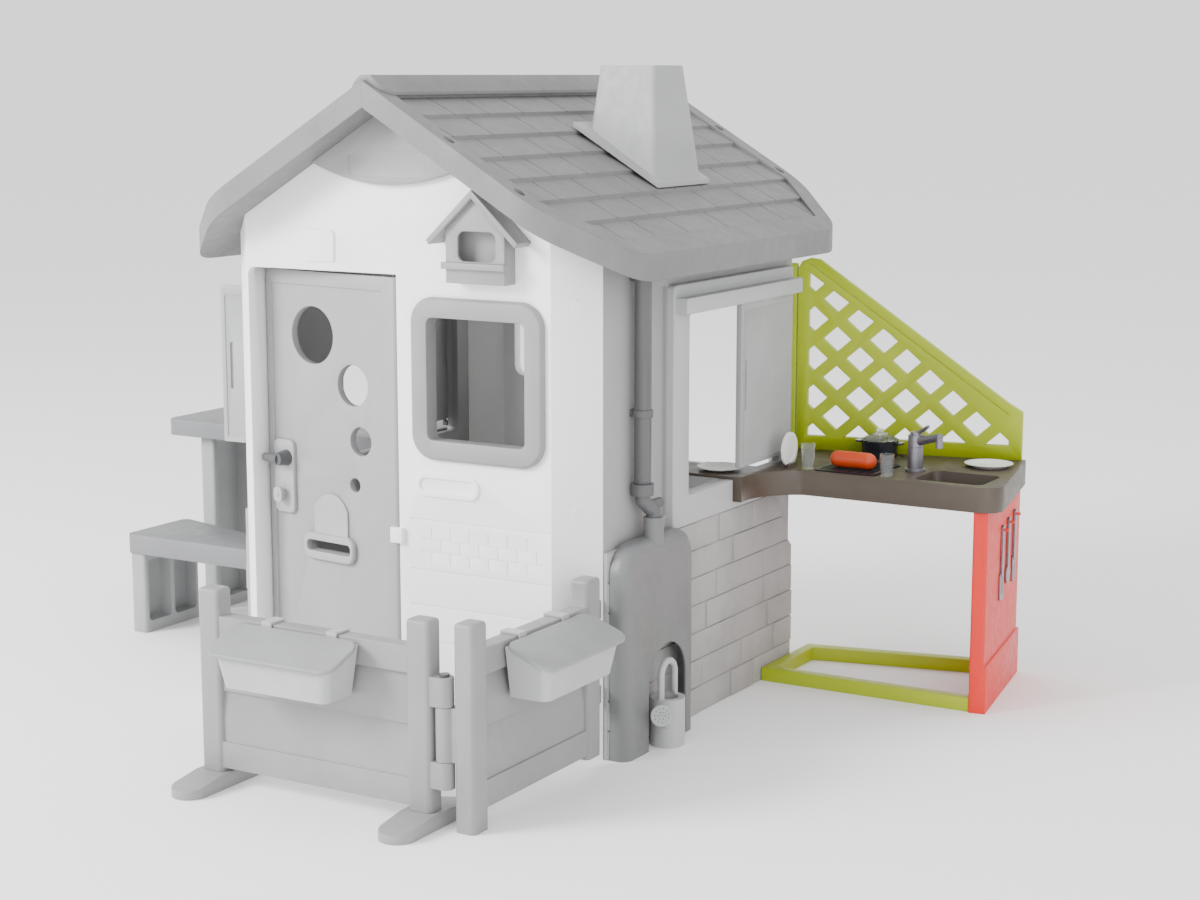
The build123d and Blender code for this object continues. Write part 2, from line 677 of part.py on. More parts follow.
# ---------------------------------------------------------------- shutters
def shutter(y0, y1, x0, free_low):
    """Plain shutter with a sunk field and a finger slot near its free edge."""
    x1 = x0 + SHUTTER_T
    leaf = slab_x(x0, x1, y0, y1, SHUTTER_Z0, SHUTTER_Z1, 4)
    leaf -= slab_x(x1 - 1.5, x1 + 1, y0 + 10, y1 - 10, SHUTTER_Z0 + 10, SHUTTER_Z1 - 20, 4)
    slot = y0 + 24 if free_low else y1 - 24
    leaf -= slab_x(x1 - 6, x1 + 1, slot - 4, slot + 4, SHUTTER_Z0 + 115, SHUTTER_Z0 + 215, 3.5)
    return leaf


def shutter_right():
    """Sliding shutter; the rib along its top rests in the rail."""
    x = SIDE_FACE + SHUTTER_GAP
    y1 = OPEN_Y1
    y0 = y1 - SHUTTER_W
    leaf = shutter(y0, y1, x, True)
    leaf += block(x, x + SHUTTER_T, y0 + 4, y1 - 4, SHUTTER_Z1 - 6, RAIL_Z1 - 9)
    leaf += block(x + SHUTTER_T, x + SHUTTER_T + 5, y0 + 4, y1 - 4, RAIL_Z0 + 6 + GAP, RAIL_Z1 - 12)
    return leaf


def left_leaf(axis_y, along):
    """Closed shutter on the left wall, reaching from its axis toward along * Y."""
    far = axis_y + along * SHUTTER_W
    inner = -LEFT_AXIS_X - SHUTTER_T / 2
    leaf = shutter(min(axis_y, far), max(axis_y, far), inner, along < 0)
    leaf = leaf & block(inner, inner + SHUTTER_T, min(axis_y, far), max(axis_y, far), 0, 1000)
    leaf = mirrored(leaf)
    edge = block(LEFT_AXIS_X - SHUTTER_T / 2, LEFT_AXIS_X + SHUTTER_T / 2, axis_y - 5, axis_y + 5,
                 SHUTTER_Z0 - 1, SHUTTER_Z1 + 1)
    leaf -= edge
    barrel = rod((LEFT_AXIS_X, axis_y, SHUTTER_Z0), (0, 0, 1), SHUTTER_T / 2, SHUTTER_Z1 - SHUTTER_Z0)
    strip = sorted((axis_y, axis_y + along * 5))
    barrel += block(LEFT_AXIS_X - SHUTTER_T / 2, LEFT_AXIS_X + SHUTTER_T / 2, strip[0], strip[1],
                    SHUTTER_Z0, SHUTTER_Z1)
    leaf += barrel
    bore = SHUTTER_PIN_R + PIN_FIT
    leaf -= rod((LEFT_AXIS_X, axis_y, SHUTTER_Z0 - 1), (0, 0, 1), bore, 15)
    leaf -= rod((LEFT_AXIS_X, axis_y, SHUTTER_Z1 - 14), (0, 0, 1), bore, 15)
    return leaf


def shutter_left_front():
    return turned(left_leaf(LEFT_AXIS_FRONT, 1), LEFT_AXIS_X, LEFT_AXIS_FRONT, SHUTTER_OPEN)


def shutter_left_rear():
    return left_leaf(LEFT_AXIS_REAR, -1)


def left_shutter_hinges():
    """Four brackets with pins that carry the two left shutters."""
    parts = []
    for y in (LEFT_AXIS_FRONT, LEFT_AXIS_REAR):
        for z0, pin in ((SHUTTER_Z0 - 14.5, SHUTTER_Z0 - 2.5), (SHUTTER_Z1 + 2.5, SHUTTER_Z1 - 11)):
            arm = block(LEFT_AXIS_X, -SIDE_FACE, y - 6.5, y + 6.5, z0, z0 + 12)
            arm += rod((LEFT_AXIS_X, y, z0), (0, 0, 1), 6.5, 12)
            arm += rod((LEFT_AXIS_X, y, pin), (0, 0, 1), SHUTTER_PIN_R, 13.5)
            parts.append(arm)
    return Compound(children=parts)


# ---------------------------------------------------------------- downpipe and barrel
def downpipe():
    """Pipe with two wall clips."""
    x, y = PIPE[0] + STONE_FACE, PIPE[1]
    pipe = rod((x, y, 497), (0, 0, 1), PIPE_R, 500)
    for z in (630, 880):
        pipe += rod((x, y, z), (0, 0, 1), PIPE_R + 3, 14)
        pipe += block(HALF_WIDTH, x, y - 9, y + 9, z, z + 14)
    pipe -= rod((x, y, 490), (0, 0, 1), PIPE_R - 2.5, 520)
    return pipe & under_roof()


def pipe_elbow():
    """Socket, double bend and side stub that lead into the barrel's neck."""
    x, y = PIPE
    upper = Vector(x, y, 474)
    lower = Vector(NECK[0], NECK[1], 450)
    run = lower - upper
    shape = rod((x, y, 484), (0, 0, 1), PIPE_R + 5, 22)
    shape += rod((x, y, 474), (0, 0, 1), BEND_R, 12)
    shape += Pos(upper) * Sphere(BEND_R)
    shape += rod(upper, run, BEND_R, run.length)
    shape += Pos(lower) * Sphere(BEND_R)
    shape += rod((NECK[0], NECK[1], 426), (0, 0, 1), BEND_R, 24)
    shape += rod((x + 5, y + 14, 462), (0, 1, 0), 10, 42)
    shape -= rod((x + 5, y + 50, 462), (0, 1, 0), 7.5, 8)
    shape -= rod((x, y, 497), (0, 0, 1), PIPE_R, 10)
    return by_the_stones(shape)


def barrel_form(inset):
    """Front half of a barrel: flat back, rounded shoulders and rounded front edges."""
    x1 = BARREL_DEPTH - inset
    low = -10 if inset else 0
    form = block(0, x1, BARREL_Y0 + inset, BARREL_Y1 - inset, low, BARREL_TOP - inset)
    form = fillet(form.edges().filter_by(Axis.X).group_by(Axis.Z)[-1], 58 - inset)
    front = form.faces().sort_by(Axis.X)[-1]
    edges = front.edges().sort_by(Axis.Z)[1:]
    return fillet(edges, 22 - inset)


def rain_barrel():
    """Shell open at the back, with an arch for the can and a neck for the pipe."""
    shell = barrel_form(0) - barrel_form(BARREL_WALL)
    neck = rod((NECK[0], NECK[1], 388), (0, 0, 1), BEND_R + 5, 52)
    shell += neck & block(0, 100, -400, 0, 0, 500)
    shell -= rod((NECK[0], NECK[1], 370), (0, 0, 1), BEND_R, 80)
    width = ARCH_Y1 - ARCH_Y0
    arch = slab_x(-2, BARREL_DEPTH + 5, ARCH_Y0, ARCH_Y1, -width, ARCH_TOP, width / 2 - 0.5)
    return by_the_stones(shell - arch)


def watering_can():
    """Can with a spout, a rose and a tall loop handle."""
    x, y = CAN
    can = rod((x, y, 0), (0, 0, 1), CAN_R, CAN_H)
    aim = (0.30, -0.80, 0.52)
    can += cone((x + 6, y - 14, 38), aim, 9, 6.5, 64)
    can += cone((x + 6 + 62 * aim[0], y - 14 + 62 * aim[1], 38 + 62 * aim[2]), aim, 8, 21, 15)
    low, knee, reach = CAN_H - 12, 139.0, 26.0
    a, b = (x, y - reach, low), (x, y - reach, knee)
    c, d = (x, y + reach, knee), (x, y + reach, low)
    route = Line(a, b) + ThreePointArc(b, (x, y, knee + 23), c) + Line(c, d)
    can += sweep(Plane(origin=a, z_dir=(0, 0, 1)) * Circle(6.5), path=route)
    can -= rod((x, y, 4), (0, 0, 1), CAN_R - 3.5, CAN_H - 17)
    can -= rod((x, y, 4), (0, 0, 1), 21, CAN_H)
    return by_the_stones(can)


# ---------------------------------------------------------------- fence
def fence_run(length, low_a, low_b):
    """Fence along X from 0 to length, outer face at y = 0; the posts start at low_a and low_b."""
    parts = []
    for x, low in ((0, low_a), (length - POST_W, low_b)):
        post = block(x, x + POST_W, 0, POST_T, low, POST_TOP)
        post = fillet(post.edges().filter_by(Axis.Z), 9)
        post = fillet(post.faces().sort_by(Axis.Z)[-1].edges(), 7)
        parts.append(post)
    x0, x1 = POST_W - 3, length - POST_W + 3
    shape = parts[0] + parts[1]
    shape += block(x0, x1, 4, POST_T - 4, BOARD_EDGES[0], BOARD_EDGES[1])
    shape += block(x0, x1, 4, POST_T - 4, BOARD_EDGES[3], BOARD_EDGES[4])
    for low, high in ((BOARD_EDGES[1], BOARD_EDGES[2]), (BOARD_EDGES[2], BOARD_EDGES[3])):
        knee = low + 0.5 * (high - low)
        outline = [(9, low), (9, knee), (15, high), (POST_T - 15, high), (POST_T - 9, knee), (POST_T - 9, low)]
        shape += prism_x(outline, x0, x1)
    return shape


def fence_front_panel():
    panel = Pos(FENCE_X0, FENCE_Y, 0) * fence_run(FENCE_X1 - FENCE_X0, FOOT_H, FOOT_H)
    for z0, z1 in ((KNUCKLE_Z[0], KNUCKLE_Z[1]), (KNUCKLE_Z[2], KNUCKLE_Z[3])):
        panel += rod((FENCE_AXIS_X, FENCE_AXIS_Y, z0), (0, 0, 1), KNUCKLE_R, z1 - z0)
        panel += block(FENCE_X1 - 10, FENCE_AXIS_X, FENCE_AXIS_Y - KNUCKLE_R, FENCE_AXIS_Y + 8, z0, z1)
        panel -= rod((FENCE_AXIS_X, FENCE_AXIS_Y, z0 - 1), (0, 0, 1), FENCE_PIN_R + PIN_FIT, z1 - z0 + 2)
    return panel


def fence_feet():
    """Long rounded feet across the front fence, one under each post."""
    feet = []
    y = FENCE_Y + POST_T / 2
    for x in (FENCE_X0 + POST_W / 2, FENCE_X1 - POST_W / 2):
        foot = slab_z(x - FOOT_W / 2, x + FOOT_W / 2, y - FOOT_LENGTH / 2, y + FOOT_LENGTH / 2,
                      0, FOOT_H, FOOT_W / 2 - 1)
        for side in (-1, 1):
            edge = y + side * (POST_T / 2 + 6)
            tip = y + side * (FOOT_LENGTH / 2 + 2)
            cut = [(edge, FOOT_H), (tip, FOOT_H - 13), (tip, FOOT_H + 5), (edge, FOOT_H + 5)]
            foot -= prism_x(cut, x - FOOT_W, x + FOOT_W)
        feet.append(foot)
    return Compound(children=feet)


def fence_side_panel():
    """Side fence with its middle knuckle and two lugs on the house corner."""
    run = fence_run(SIDE_FENCE_Y1 - SIDE_FENCE_Y0, 0, FOOT_H)
    run = Pos(SIDE_FENCE_X, SIDE_FENCE_Y0, 0) * Rot(0, 0, 90) * run
    z0, z1 = KNUCKLE_Z[1] + KNUCKLE_GAP, KNUCKLE_Z[2] - KNUCKLE_GAP
    inner = SIDE_FENCE_X - POST_T
    run += rod((FENCE_AXIS_X, FENCE_AXIS_Y, z0), (0, 0, 1), KNUCKLE_R, z1 - z0)
    run += block(FENCE_AXIS_X, inner + 10, SIDE_FENCE_Y0 + 2, FENCE_AXIS_Y + KNUCKLE_R, z0, z1)
    run -= rod((FENCE_AXIS_X, FENCE_AXIS_Y, z0 - 1), (0, 0, 1), FENCE_PIN_R, z1 - z0 + 2)
    line = HALF_WIDTH - CORNER + HALF_DEPTH
    x0, x1 = inner + 1, HALF_WIDTH - 2
    outline = [(x0, SIDE_FENCE_Y1 - 10), (x1, SIDE_FENCE_Y1 - 10), (x1, x1 - line), (x0, x0 - line)]
    for z in (110, 270):
        run += prism_z(outline, z, z + 34)
    return run


def fence_hinge_pin():
    z0, z1 = KNUCKLE_Z[0] + 2, KNUCKLE_Z[3] + 1
    pin = rod((FENCE_AXIS_X, FENCE_AXIS_Y, z0), (0, 0, 1), FENCE_PIN_R, z1 - z0)
    return pin + rod((FENCE_AXIS_X, FENCE_AXIS_Y, z1), (0, 0, 1), FENCE_PIN_R + 4, 4)


# ---------------------------------------------------------------- planters
def planter_form(inset, z0):
    """Flared tub, its back flattened at y = 0, its rim sloping outward."""
    grow = PLANTER_FLARE * (PLANTER_RIM + 20 - z0)
    start = PLANTER_FLARE * (z0 - PLANTER_Z0)
    depth = PLANTER_D + 40
    y = -PLANTER_D / 2 + 20
    low = Plane(origin=(0, y, z0)) * RectangleRounded(PLANTER_L - 2 * inset + 2 * start, depth - 2 * inset + 2 * start, 16 - inset)
    high = Plane(origin=(0, y, PLANTER_RIM + 20)) * RectangleRounded(
        PLANTER_L - 2 * inset + 2 * start + 2 * grow, depth - 2 * inset + 2 * start + 2 * grow, 16 - inset)
    form = loft([low.face(), high.face()])
    return form & block(-200, 200, -200, -inset, 0, 500)


def planter_tub():
    """Tub with two hooks that reach over a fence rail 4 mm behind its back."""
    rim = [(60, PLANTER_RIM + 60 * PLANTER_DROP), (-150, PLANTER_RIM - 150 * PLANTER_DROP), (-150, 500), (60, 500)]
    above = prism_x(rim, -200, 200)
    tub = planter_form(0, PLANTER_Z0) - planter_form(PLANTER_WALL, PLANTER_Z0 + PLANTER_WALL) - above
    rail_top = BOARD_EDGES[4]
    for x in (-70, 70):
        tub += block(x - 11, x + 11, 0, 3, PLANTER_RIM - 45, rail_top + 4.5)
        tub += block(x - 11, x + 11, 3, POST_T - 0.5, rail_top + 0.5, rail_top + 4.5)
        tub += block(x - 11, x + 11, POST_T - 3.5, POST_T - 0.5, rail_top - 18, rail_top + 0.5)
    return tub


def planter_lid():
    """Loose lid that follows the slope of the rim."""
    plate = slab_z(-LID_L / 2, LID_L / 2, -LID_D, 0, 0, LID_T, 26)
    plate = fillet(plate.faces().sort_by(Axis.Z)[-1].edges(), 2.5)
    tilt = math.degrees(math.atan(PLANTER_DROP))
    return Pos(0, -0.6, PLANTER_RIM + GAP) * Rot(tilt, 0, 0) * plate


def on_front_fence(shape):
    return Pos(FRONT_PLANTER_X, FENCE_Y, 0) * shape


def on_side_fence(shape):
    return Pos(SIDE_FENCE_X, SIDE_PLANTER_Y, 0) * Rot(0, 0, 90) * shape


# ---------------------------------------------------------------- table and bench
def ribbed_leg(x0, y0, y1, top):
    """Blow-moulded end leg with pockets open to the house side."""
    leg = block(x0, x0 + LEG_T, y0, y1, 0, top)
    leg = fillet(leg.edges().filter_by(Axis.Z), 8)
    width = (y1 - y0 - 36) / 2
    for column in (0, 1):
        start = y0 + 12 + column * (width + 12)
        leg -= slab_x(x0 + 9, x0 + LEG_T + 2, start, start + width, 26, top - 16, 10)
    return leg


def table_top():
    x0 = -TABLE_REACH
    low = TABLE_TOP - TABLE_T
    top = slab_z(x0, 80, TABLE_Y0, TABLE_Y1, low, TABLE_TOP, 25)
    top = fillet(top.faces().sort_by(Axis.Z)[-1].edges(), 4)
    top = top & block(x0, 0, TABLE_Y0, TABLE_Y1, 0, 1000)
    leg = -BENCH_REACH + 1
    top -= slab_z(x0 + 9, leg - 8, TABLE_Y0 + 9, TABLE_Y1 - 9, low - 1, TABLE_TOP - 9, 16)
    span = -12 - (leg + LEG_T + 8)
    for cell in (0, 1, 2):
        start = leg + LEG_T + 8 + cell * span / 3
        top -= block(start, start + span / 3 - 8, TABLE_Y0 + 9, TABLE_Y1 - 9, low - 1, TABLE_TOP - 9)
    dish = slab_z(x0 + 380, x0 + 470, 175, 235, TABLE_TOP - 4, TABLE_TOP + 1, 28)
    return beside_left(top - dish)


def table_leg():
    return beside_left(ribbed_leg(-BENCH_REACH + 1, TABLE_Y0 + 30, TABLE_Y1 - 30, TABLE_TOP - TABLE_T))


def bench_seat():
    x0 = -BENCH_REACH
    x1 = PANEL - STONE_BACK
    low = BENCH_TOP - BENCH_T
    outline = [(x0, BENCH_Y0), (x1, BENCH_Y0), (x1, 20), (x0 + 241, 30), (x0, BENCH_Y1)]
    seat = prism_z(outline, low, BENCH_TOP)
    seat = fillet(upright_edges(seat, [(x0, BENCH_Y0), (x0, BENCH_Y1)]), 16)
    start = x0 + 6 + LEG_T + 8
    inner = [(start, BENCH_Y0 + 9), (x1 - 9, BENCH_Y0 + 9), (x1 - 9, 11), (x0 + 238, 20), (start, BENCH_Y1 - 25)]
    seat -= prism_z(inner, low - 1, BENCH_TOP - 9)
    return beside_left(seat)


def bench_leg():
    return beside_left(ribbed_leg(-BENCH_REACH + 6, BENCH_Y0 + 4, BENCH_Y1 - 15, BENCH_TOP - BENCH_T))


# ---------------------------------------------------------------- kitchen
def counter_back(x):
    """Y of the counter's skewed back edge at x."""
    return 483.2 + (x + 75.5) * math.tan(math.radians(COUNTER_SKEW))


def counter():
    """Hollow counter with a sink bowl and a tongue that rests on the window sill."""
    right = COUNTER_X1 - 74
    corner = [(COUNTER_X1, COUNTER_Y0), (right, counter_back(right)), (-75.5, 483.2), (-53.5, 445), (0, 391.5),
              (0, TONGUE_Y0), (19.5, TONGUE_Y0)]
    z0 = COUNTER_BOTTOM
    line = Polyline((93.5, COUNTER_Y0, z0), *[(x, y, z0) for x, y in corner])
    arc = ThreePointArc((19.5, TONGUE_Y0, z0), (43.5, 196, z0), (93.5, COUNTER_Y0, z0))
    deck = extrude(make_face([line, arc]), amount=COUNTER_TOP - z0, dir=(0, 0, 1))
    deck = fillet(upright_edges(deck, [(COUNTER_X1, COUNTER_Y0)]), 42)
    deck = fillet(upright_edges(deck, [(right, counter_back(right))]), 14)
    inner = [(9, COUNTER_Y0 + 8), (446, COUNTER_Y0 + 8), (396, 540), (9, 468)]
    deck -= prism_z(inner, z0 - 1, COUNTER_TOP - COUNTER_SKIN)
    x0, x1, y0, y1 = SINK
    wall = 5
    deck += slab_z(x0 - wall, x1 - 20, y0 - wall, y1 + wall, COUNTER_TOP - SINK_DEPTH - wall, COUNTER_TOP - 1, 20)
    deck -= slab_z(x0, x1, y0, y1, COUNTER_TOP - SINK_DEPTH, COUNTER_TOP + 1, 18)
    deck -= slab_z(105, 243, 248, 392, COUNTER_TOP - 2.5, COUNTER_TOP + 1, 10)
    ring = rod((POT[0], POT[1], COUNTER_TOP - 1.5), (0, 0, 1), 50, 3)
    deck -= ring - rod((POT[0], POT[1], COUNTER_TOP - 2), (0, 0, 1), 46, 4)
    deck += block(TONGUE_X0, 0, TONGUE_Y0, COUNTER_Y0, OPEN_Z0, COUNTER_TOP)
    rack = block(38, 57, 244, 280, COUNTER_TOP, COUNTER_TOP + 9) - block(44.7, 50.3, 240, 290, COUNTER_TOP + 2, 500)
    return beside_right(deck + rack)


def hob_grill():
    """Row of bars in a frame, set in the hob field."""
    z0 = COUNTER_TOP - 2.5
    frame = slab_z(108, 240, 251, 389, z0, z0 + 5, 8) - slab_z(116, 232, 259, 381, z0 - 1, z0 + 6, 5)
    for bar in range(8):
        y = 266 + bar * 14.6
        frame += block(114, 234, y, y + 5, z0, z0 + 5)
    return beside_right(frame)


def on_back_edge(shape):
    """From the trellis's own frame to the counter's back edge."""
    return beside_right(Pos(-71.5, 484, 0) * Rot(0, 0, COUNTER_SKEW) * shape)


def trellis():
    """Lattice panel with a sloping top edge and a double top border."""
    base = COUNTER_TOP
    x0 = 31.0
    x1 = x0 + TRELLIS_LENGTH
    slope = (TRELLIS_TOP - 575) / (TRELLIS_LENGTH - 77)
    knee = x1 - 30

    def top_at(x):
        return TRELLIS_TOP - slope * (x - x0 - 47)

    outline = [(x0, base), (x1, base), (x1, top_at(knee) - 18), (knee, top_at(knee)), (x0 + 47, TRELLIS_TOP),
               (x0 + 26, TRELLIS_TOP + 3), (x0 + 8, TRELLIS_TOP - 4), (x0, TRELLIS_TOP - 18)]
    y0, y1 = -TRELLIS_T - 2, -2
    panel = prism_y(outline, y0, y1)
    left, right = x0 + 24, x1 - 28
    inner = [(left, base + 30), (right, base + 30), (right, top_at(right) - 44), (left, top_at(left) - 44)]
    field = prism_y(inner, y0 - 1, y1 + 1)
    half_x, half_z = DIAMOND[0] / 2, DIAMOND[1] / 2
    for row in range(14):
        z = base + 30 + row * DIAMOND_PITCH[1] / 2
        for column in range(6):
            x = left + 12 + column * DIAMOND_PITCH[0] + (row % 2) * DIAMOND_PITCH[0] / 2
            if z - half_z > top_at(x - half_x) - 44 or x - half_x > right:
                continue
            hole = prism_y([(x - half_x, z), (x, z - half_z), (x + half_x, z), (x, z + half_z)], y0 - 1, y1 + 1)
            panel -= hole & field
    groove = [(left, top_at(left) - 22), (knee, top_at(knee) - 22), (knee, top_at(knee) - 25), (left, top_at(left) - 25)]
    panel -= prism_y(groove, y0 - 1, y0 + 2)
    return on_back_edge(panel)


def trellis_post():
    """Upright beside the trellis, at the house's rear corner."""
    post = block(0, 29, -TRELLIS_T - 2, -2, COUNTER_TOP, TRELLIS_TOP - 9)
    post = fillet(post.edges().filter_by(Axis.Z), 3)
    return on_back_edge(chamfer(post.faces().sort_by(Axis.Z)[-1].edges(), 2))


def on_side_leg(shape):
    """From the leg's own frame, x outward and y rearward, to its place."""
    return beside_right(Pos(SIDE_LEG_X, SIDE_LEG_Y, 0) * Rot(0, 0, SIDE_LEG_SKEW) * shape)


UTENSIL_Y = (147.0, 208.0, 273.0)
UTENSIL_Z = (345.0, 350.0, 355.0)
HOOK_R = 3.0


def side_leg():
    """Leg panel under the counter's end, with a stepped plinth and three moulded hooks."""
    leg = block(-SIDE_LEG_T, -5, 0, SIDE_LEG_LENGTH, 0, COUNTER_BOTTOM)
    leg += block(-5, 0, 0, SIDE_LEG_LENGTH, 0, 97)
    leg = fillet(leg.edges().filter_by(Axis.Z).filter_by(lambda e: e.length > 300), 4)
    width = (SIDE_LEG_LENGTH - 36) / 2
    for column in (0, 1):
        start = 12 + column * (width + 12)
        leg -= slab_x(-SIDE_LEG_T - 1, -14, start, start + width, 26, COUNTER_BOTTOM - 16, 10)
    for y, z in zip(UTENSIL_Y, UTENSIL_Z):
        leg += rod((-6, y, z), (1, 0, 0), HOOK_R, 15)
    return on_side_leg(leg)


def utensil(index, end):
    """Flat handle with a hanging hole and a working end of the given outline."""
    y, z = UTENSIL_Y[index], UTENSIL_Z[index]
    handle = slab_x(-4.5, 0, y - 7.5, y + 7.5, z - 98, z + 10, 6)
    handle += end(y, z - 92)
    handle -= rod((-6, y, z), (1, 0, 0), HOOK_R + GAP, 9)
    return on_side_leg(handle)


def spatula_end(y, z):
    blade = slab_x(-4.5, -1.5, y - 18, y + 18, z - 52, z + 4, 6)
    for offset in (-8, 0, 8):
        blade -= slab_x(-6, 0, y + offset - 1.8, y + offset + 1.8, z - 42, z - 10, 1.5)
    return blade


def spoon_end(y, z):
    return rod((-4.5, y, z - 16), (1, 0, 0), 20, 4)


def fork_end(y, z):
    blade = slab_x(-4.5, -1.5, y - 14, y + 14, z - 50, z + 4, 6)
    for offset in (-6, 6):
        blade -= block(-6, 0, y + offset - 1.8, y + offset + 1.8, z - 56, z - 14)
    return blade


def floor_frame():
    """U-shaped ground frame between the house and the side leg."""
    lean = math.tan(math.radians(SIDE_LEG_SKEW))
    edge = SIDE_LEG_X - SIDE_LEG_T / math.cos(math.radians(SIDE_LEG_SKEW)) - 0.2
    y0 = COUNTER_Y0 + 10
    far = 560.0
    inner_x = edge + (SIDE_LEG_Y - y0) * lean
    far_x = edge - (far - SIDE_LEG_Y) * lean
    wall_x = STONE_T - PANEL
    back = far - (far_x - wall_x) * math.tan(math.radians(COUNTER_SKEW))
    frame = prism_z([(wall_x, y0), (inner_x, y0), (far_x, far), (wall_x, back)], 0, FLOOR_BAR_H)
    hole = [(wall_x + 24, y0 + 25), (inner_x + 30, y0 + 25), (far_x + 30, far - 20), (wall_x + 24, back - 25)]
    frame -= prism_z(hole, -1, FLOOR_BAR_H + 1)
    return beside_right(frame)


# ---------------------------------------------------------------- kitchen things
def faucet_body():
    x, y = FAUCET
    body = rod((x, y, COUNTER_TOP), (0, 0, 1), 21, 5) + rod((x, y, COUNTER_TOP + 4), (0, 0, 1), 16, 46)
    body += rod((x, y, COUNTER_TOP + 50), (0, 0, 1), 9, 12)
    return beside_right(body)


def faucet_spout():
    """Swivelling head with its spout and lever."""
    x, y = FAUCET
    z = COUNTER_TOP + 50 + GAP
    head = rod((x, y, z), (0, 0, 1), 16, 24)
    head += cone((x, y, z + 10), (0.87, -0.42, 0.25), 10, 7.5, 74)
    head += rod((x + 62, y - 30, z + 26), (0, 0, -1), 7.5, 20)
    head += rod((x, y, z + 24), (0, 0, 1), 12, 6)
    head += cone((x, y, z + 25), (0.87, -0.42, 0.55), 5, 3.5, 42)
    head -= rod((x, y, z - 1), (0, 0, 1), 9 + PIN_FIT, 14)
    return beside_right(head)


def pot():
    x, y = POT
    z = COUNTER_TOP + GAP
    body = cone((x, y, z), (0, 0, 1), 36, 40, 38) - cone((x, y, z + 3), (0, 0, 1), 33.3, 37.6, 37)
    for side in (-1, 1):
        ear = slab_z(x + side * 44 - 8, x + side * 44 + 8, y - 14, y + 14, z + 30, z + 34, 6)
        body += ear - rod((x, y, z), (0, 0, 1), 38, 50)
    return beside_right(body)


def pot_lid():
    """Clear shallow cover with a knob."""
    x, y = POT
    z = COUNTER_TOP + 38 + 2 * GAP
    dome = cone((x, y, z), (0, 0, 1), 41, 18, 12) - cone((x, y, z - 0.01), (0, 0, 1), 38.5, 15.5, 10)
    return beside_right(dome + rod((x, y, z + 11), (0, 0, 1), 4, 7) + rod((x, y, z + 17), (0, 0, 1), 8, 5))


def sausage():
    radius = 17.0
    z = COUNTER_TOP + 2.5 + GAP + radius
    shape = rod((173.5 - 33, 300, z), (1, 0, 0), radius, 66)
    for side in (-1, 1):
        shape += Pos(173.5 + side * 33, 300, z) * Sphere(radius)
    return beside_right(shape)


def plate_flat():
    """Round plate with a raised rim."""
    x, y, z = 401.0, 470.0, COUNTER_TOP + GAP
    dish = rod((x, y, z), (0, 0, 1), 34, 3)
    rim = cone((x, y, z), (0, 0, 1), 34, 50, 8) - cone((x, y, z + 2.6), (0, 0, 1), 33.9, 50.5, 8)
    return beside_right(dish + rim)


def plate_standing():
    """Small plate on edge in its rack."""
    z = COUNTER_TOP + 2 + GAP + 35
    plate = rod((45.2, 262, z), (1, 0, 0), 35, 4.6) - rod((47.6, 262, z), (1, 0, 0), 26, 5)
    return beside_right(plate)


def glass(x, y, height):
    z = COUNTER_TOP + GAP
    cup = cone((x, y, z), (0, 0, 1), 12, 15, height)
    return beside_right(cup - cone((x, y, z + 3), (0, 0, 1), 10.4, 13.4, height - 2.9))


# ---------------------------------------------------------------- assembly
def build_parts():
    return {
        "front_wall": front_wall(),
        "back_wall": back_wall(),
        "right_wall": right_wall(),
        "left_wall": left_wall(),
        "right_stone_base": right_stone_base(),
        "left_stone_base": left_stone_base(),
        "roof_right": roof_right(),
        "roof_left": roof_left(),
        "ridge_cap": ridge_cap(),
        "chimney": chimney(),
        "roof_bolts": roof_bolts(),
        "gable_board": gable_board(),
        "front_window_frame": front_window_frame(),
        "birdhouse_body": birdhouse_body(),
        "birdhouse_roof": birdhouse_roof(),
        "wall_plugs": wall_plugs(),
        "door_leaf": door_leaf(),
        "letter_slot_frame": letter_slot_frame(),
        "lock_plate": lock_plate(),
        "door_handle": door_handle(),
        "door_key": door_key(),
        "door_hinge_pins": door_hinge_pins(),
        "shutter_right": shutter_right(),
        "shutter_left_front": shutter_left_front(),
        "shutter_left_rear": shutter_left_rear(),
        "left_shutter_hinges": left_shutter_hinges(),
        "downpipe": downpipe(),
        "pipe_elbow": pipe_elbow(),
        "rain_barrel": rain_barrel(),
        "watering_can": watering_can(),
        "fence_front_panel": fence_front_panel(),
        "fence_feet": fence_feet(),
        "fence_side_panel": fence_side_panel(),
        "fence_hinge_pin": fence_hinge_pin(),
        "planter_front": on_front_fence(planter_tub()),
        "planter_front_lid": on_front_fence(planter_lid()),
        "planter_side": on_side_fence(planter_tub()),
        "planter_side_lid": on_side_fence(planter_lid()),
        "table_top": table_top(),
        "table_leg": table_leg(),
        "bench_seat": bench_seat(),
        "bench_leg": bench_leg(),
        "counter": counter(),
        "hob_grill": hob_grill(),
        "trellis": trellis(),
        "trellis_post": trellis_post(),
        "side_leg": side_leg(),
        "floor_frame": floor_frame(),
        "faucet_body": faucet_body(),
        "faucet_spout": faucet_spout(),
        "pot": pot(),
        "pot_lid": pot_lid(),
        "sausage": sausage(),
        "plate_flat": plate_flat(),
        "plate_standing": plate_standing(),
        "glass_tall": glass(89.5, 262, 52),
        "glass_short": glass(263.5, 262, 45),
        "utensil_spatula": utensil(0, spatula_end),
        "utensil_spoon": utensil(1, spoon_end),
        "utensil_fork": utensil(2, fork_end),
    }


def to_origin(parts):
    """Shift that puts the origin at the bottom centre of everything."""
    boxes = [shape.bounding_box() for shape in parts.values()]
    x = (min(b.min.X for b in boxes) + max(b.max.X for b in boxes)) / 2
    y = (min(b.min.Y for b in boxes) + max(b.max.Y for b in boxes)) / 2
    z = min(b.min.Z for b in boxes)
    return Pos(-x, -y, -z)


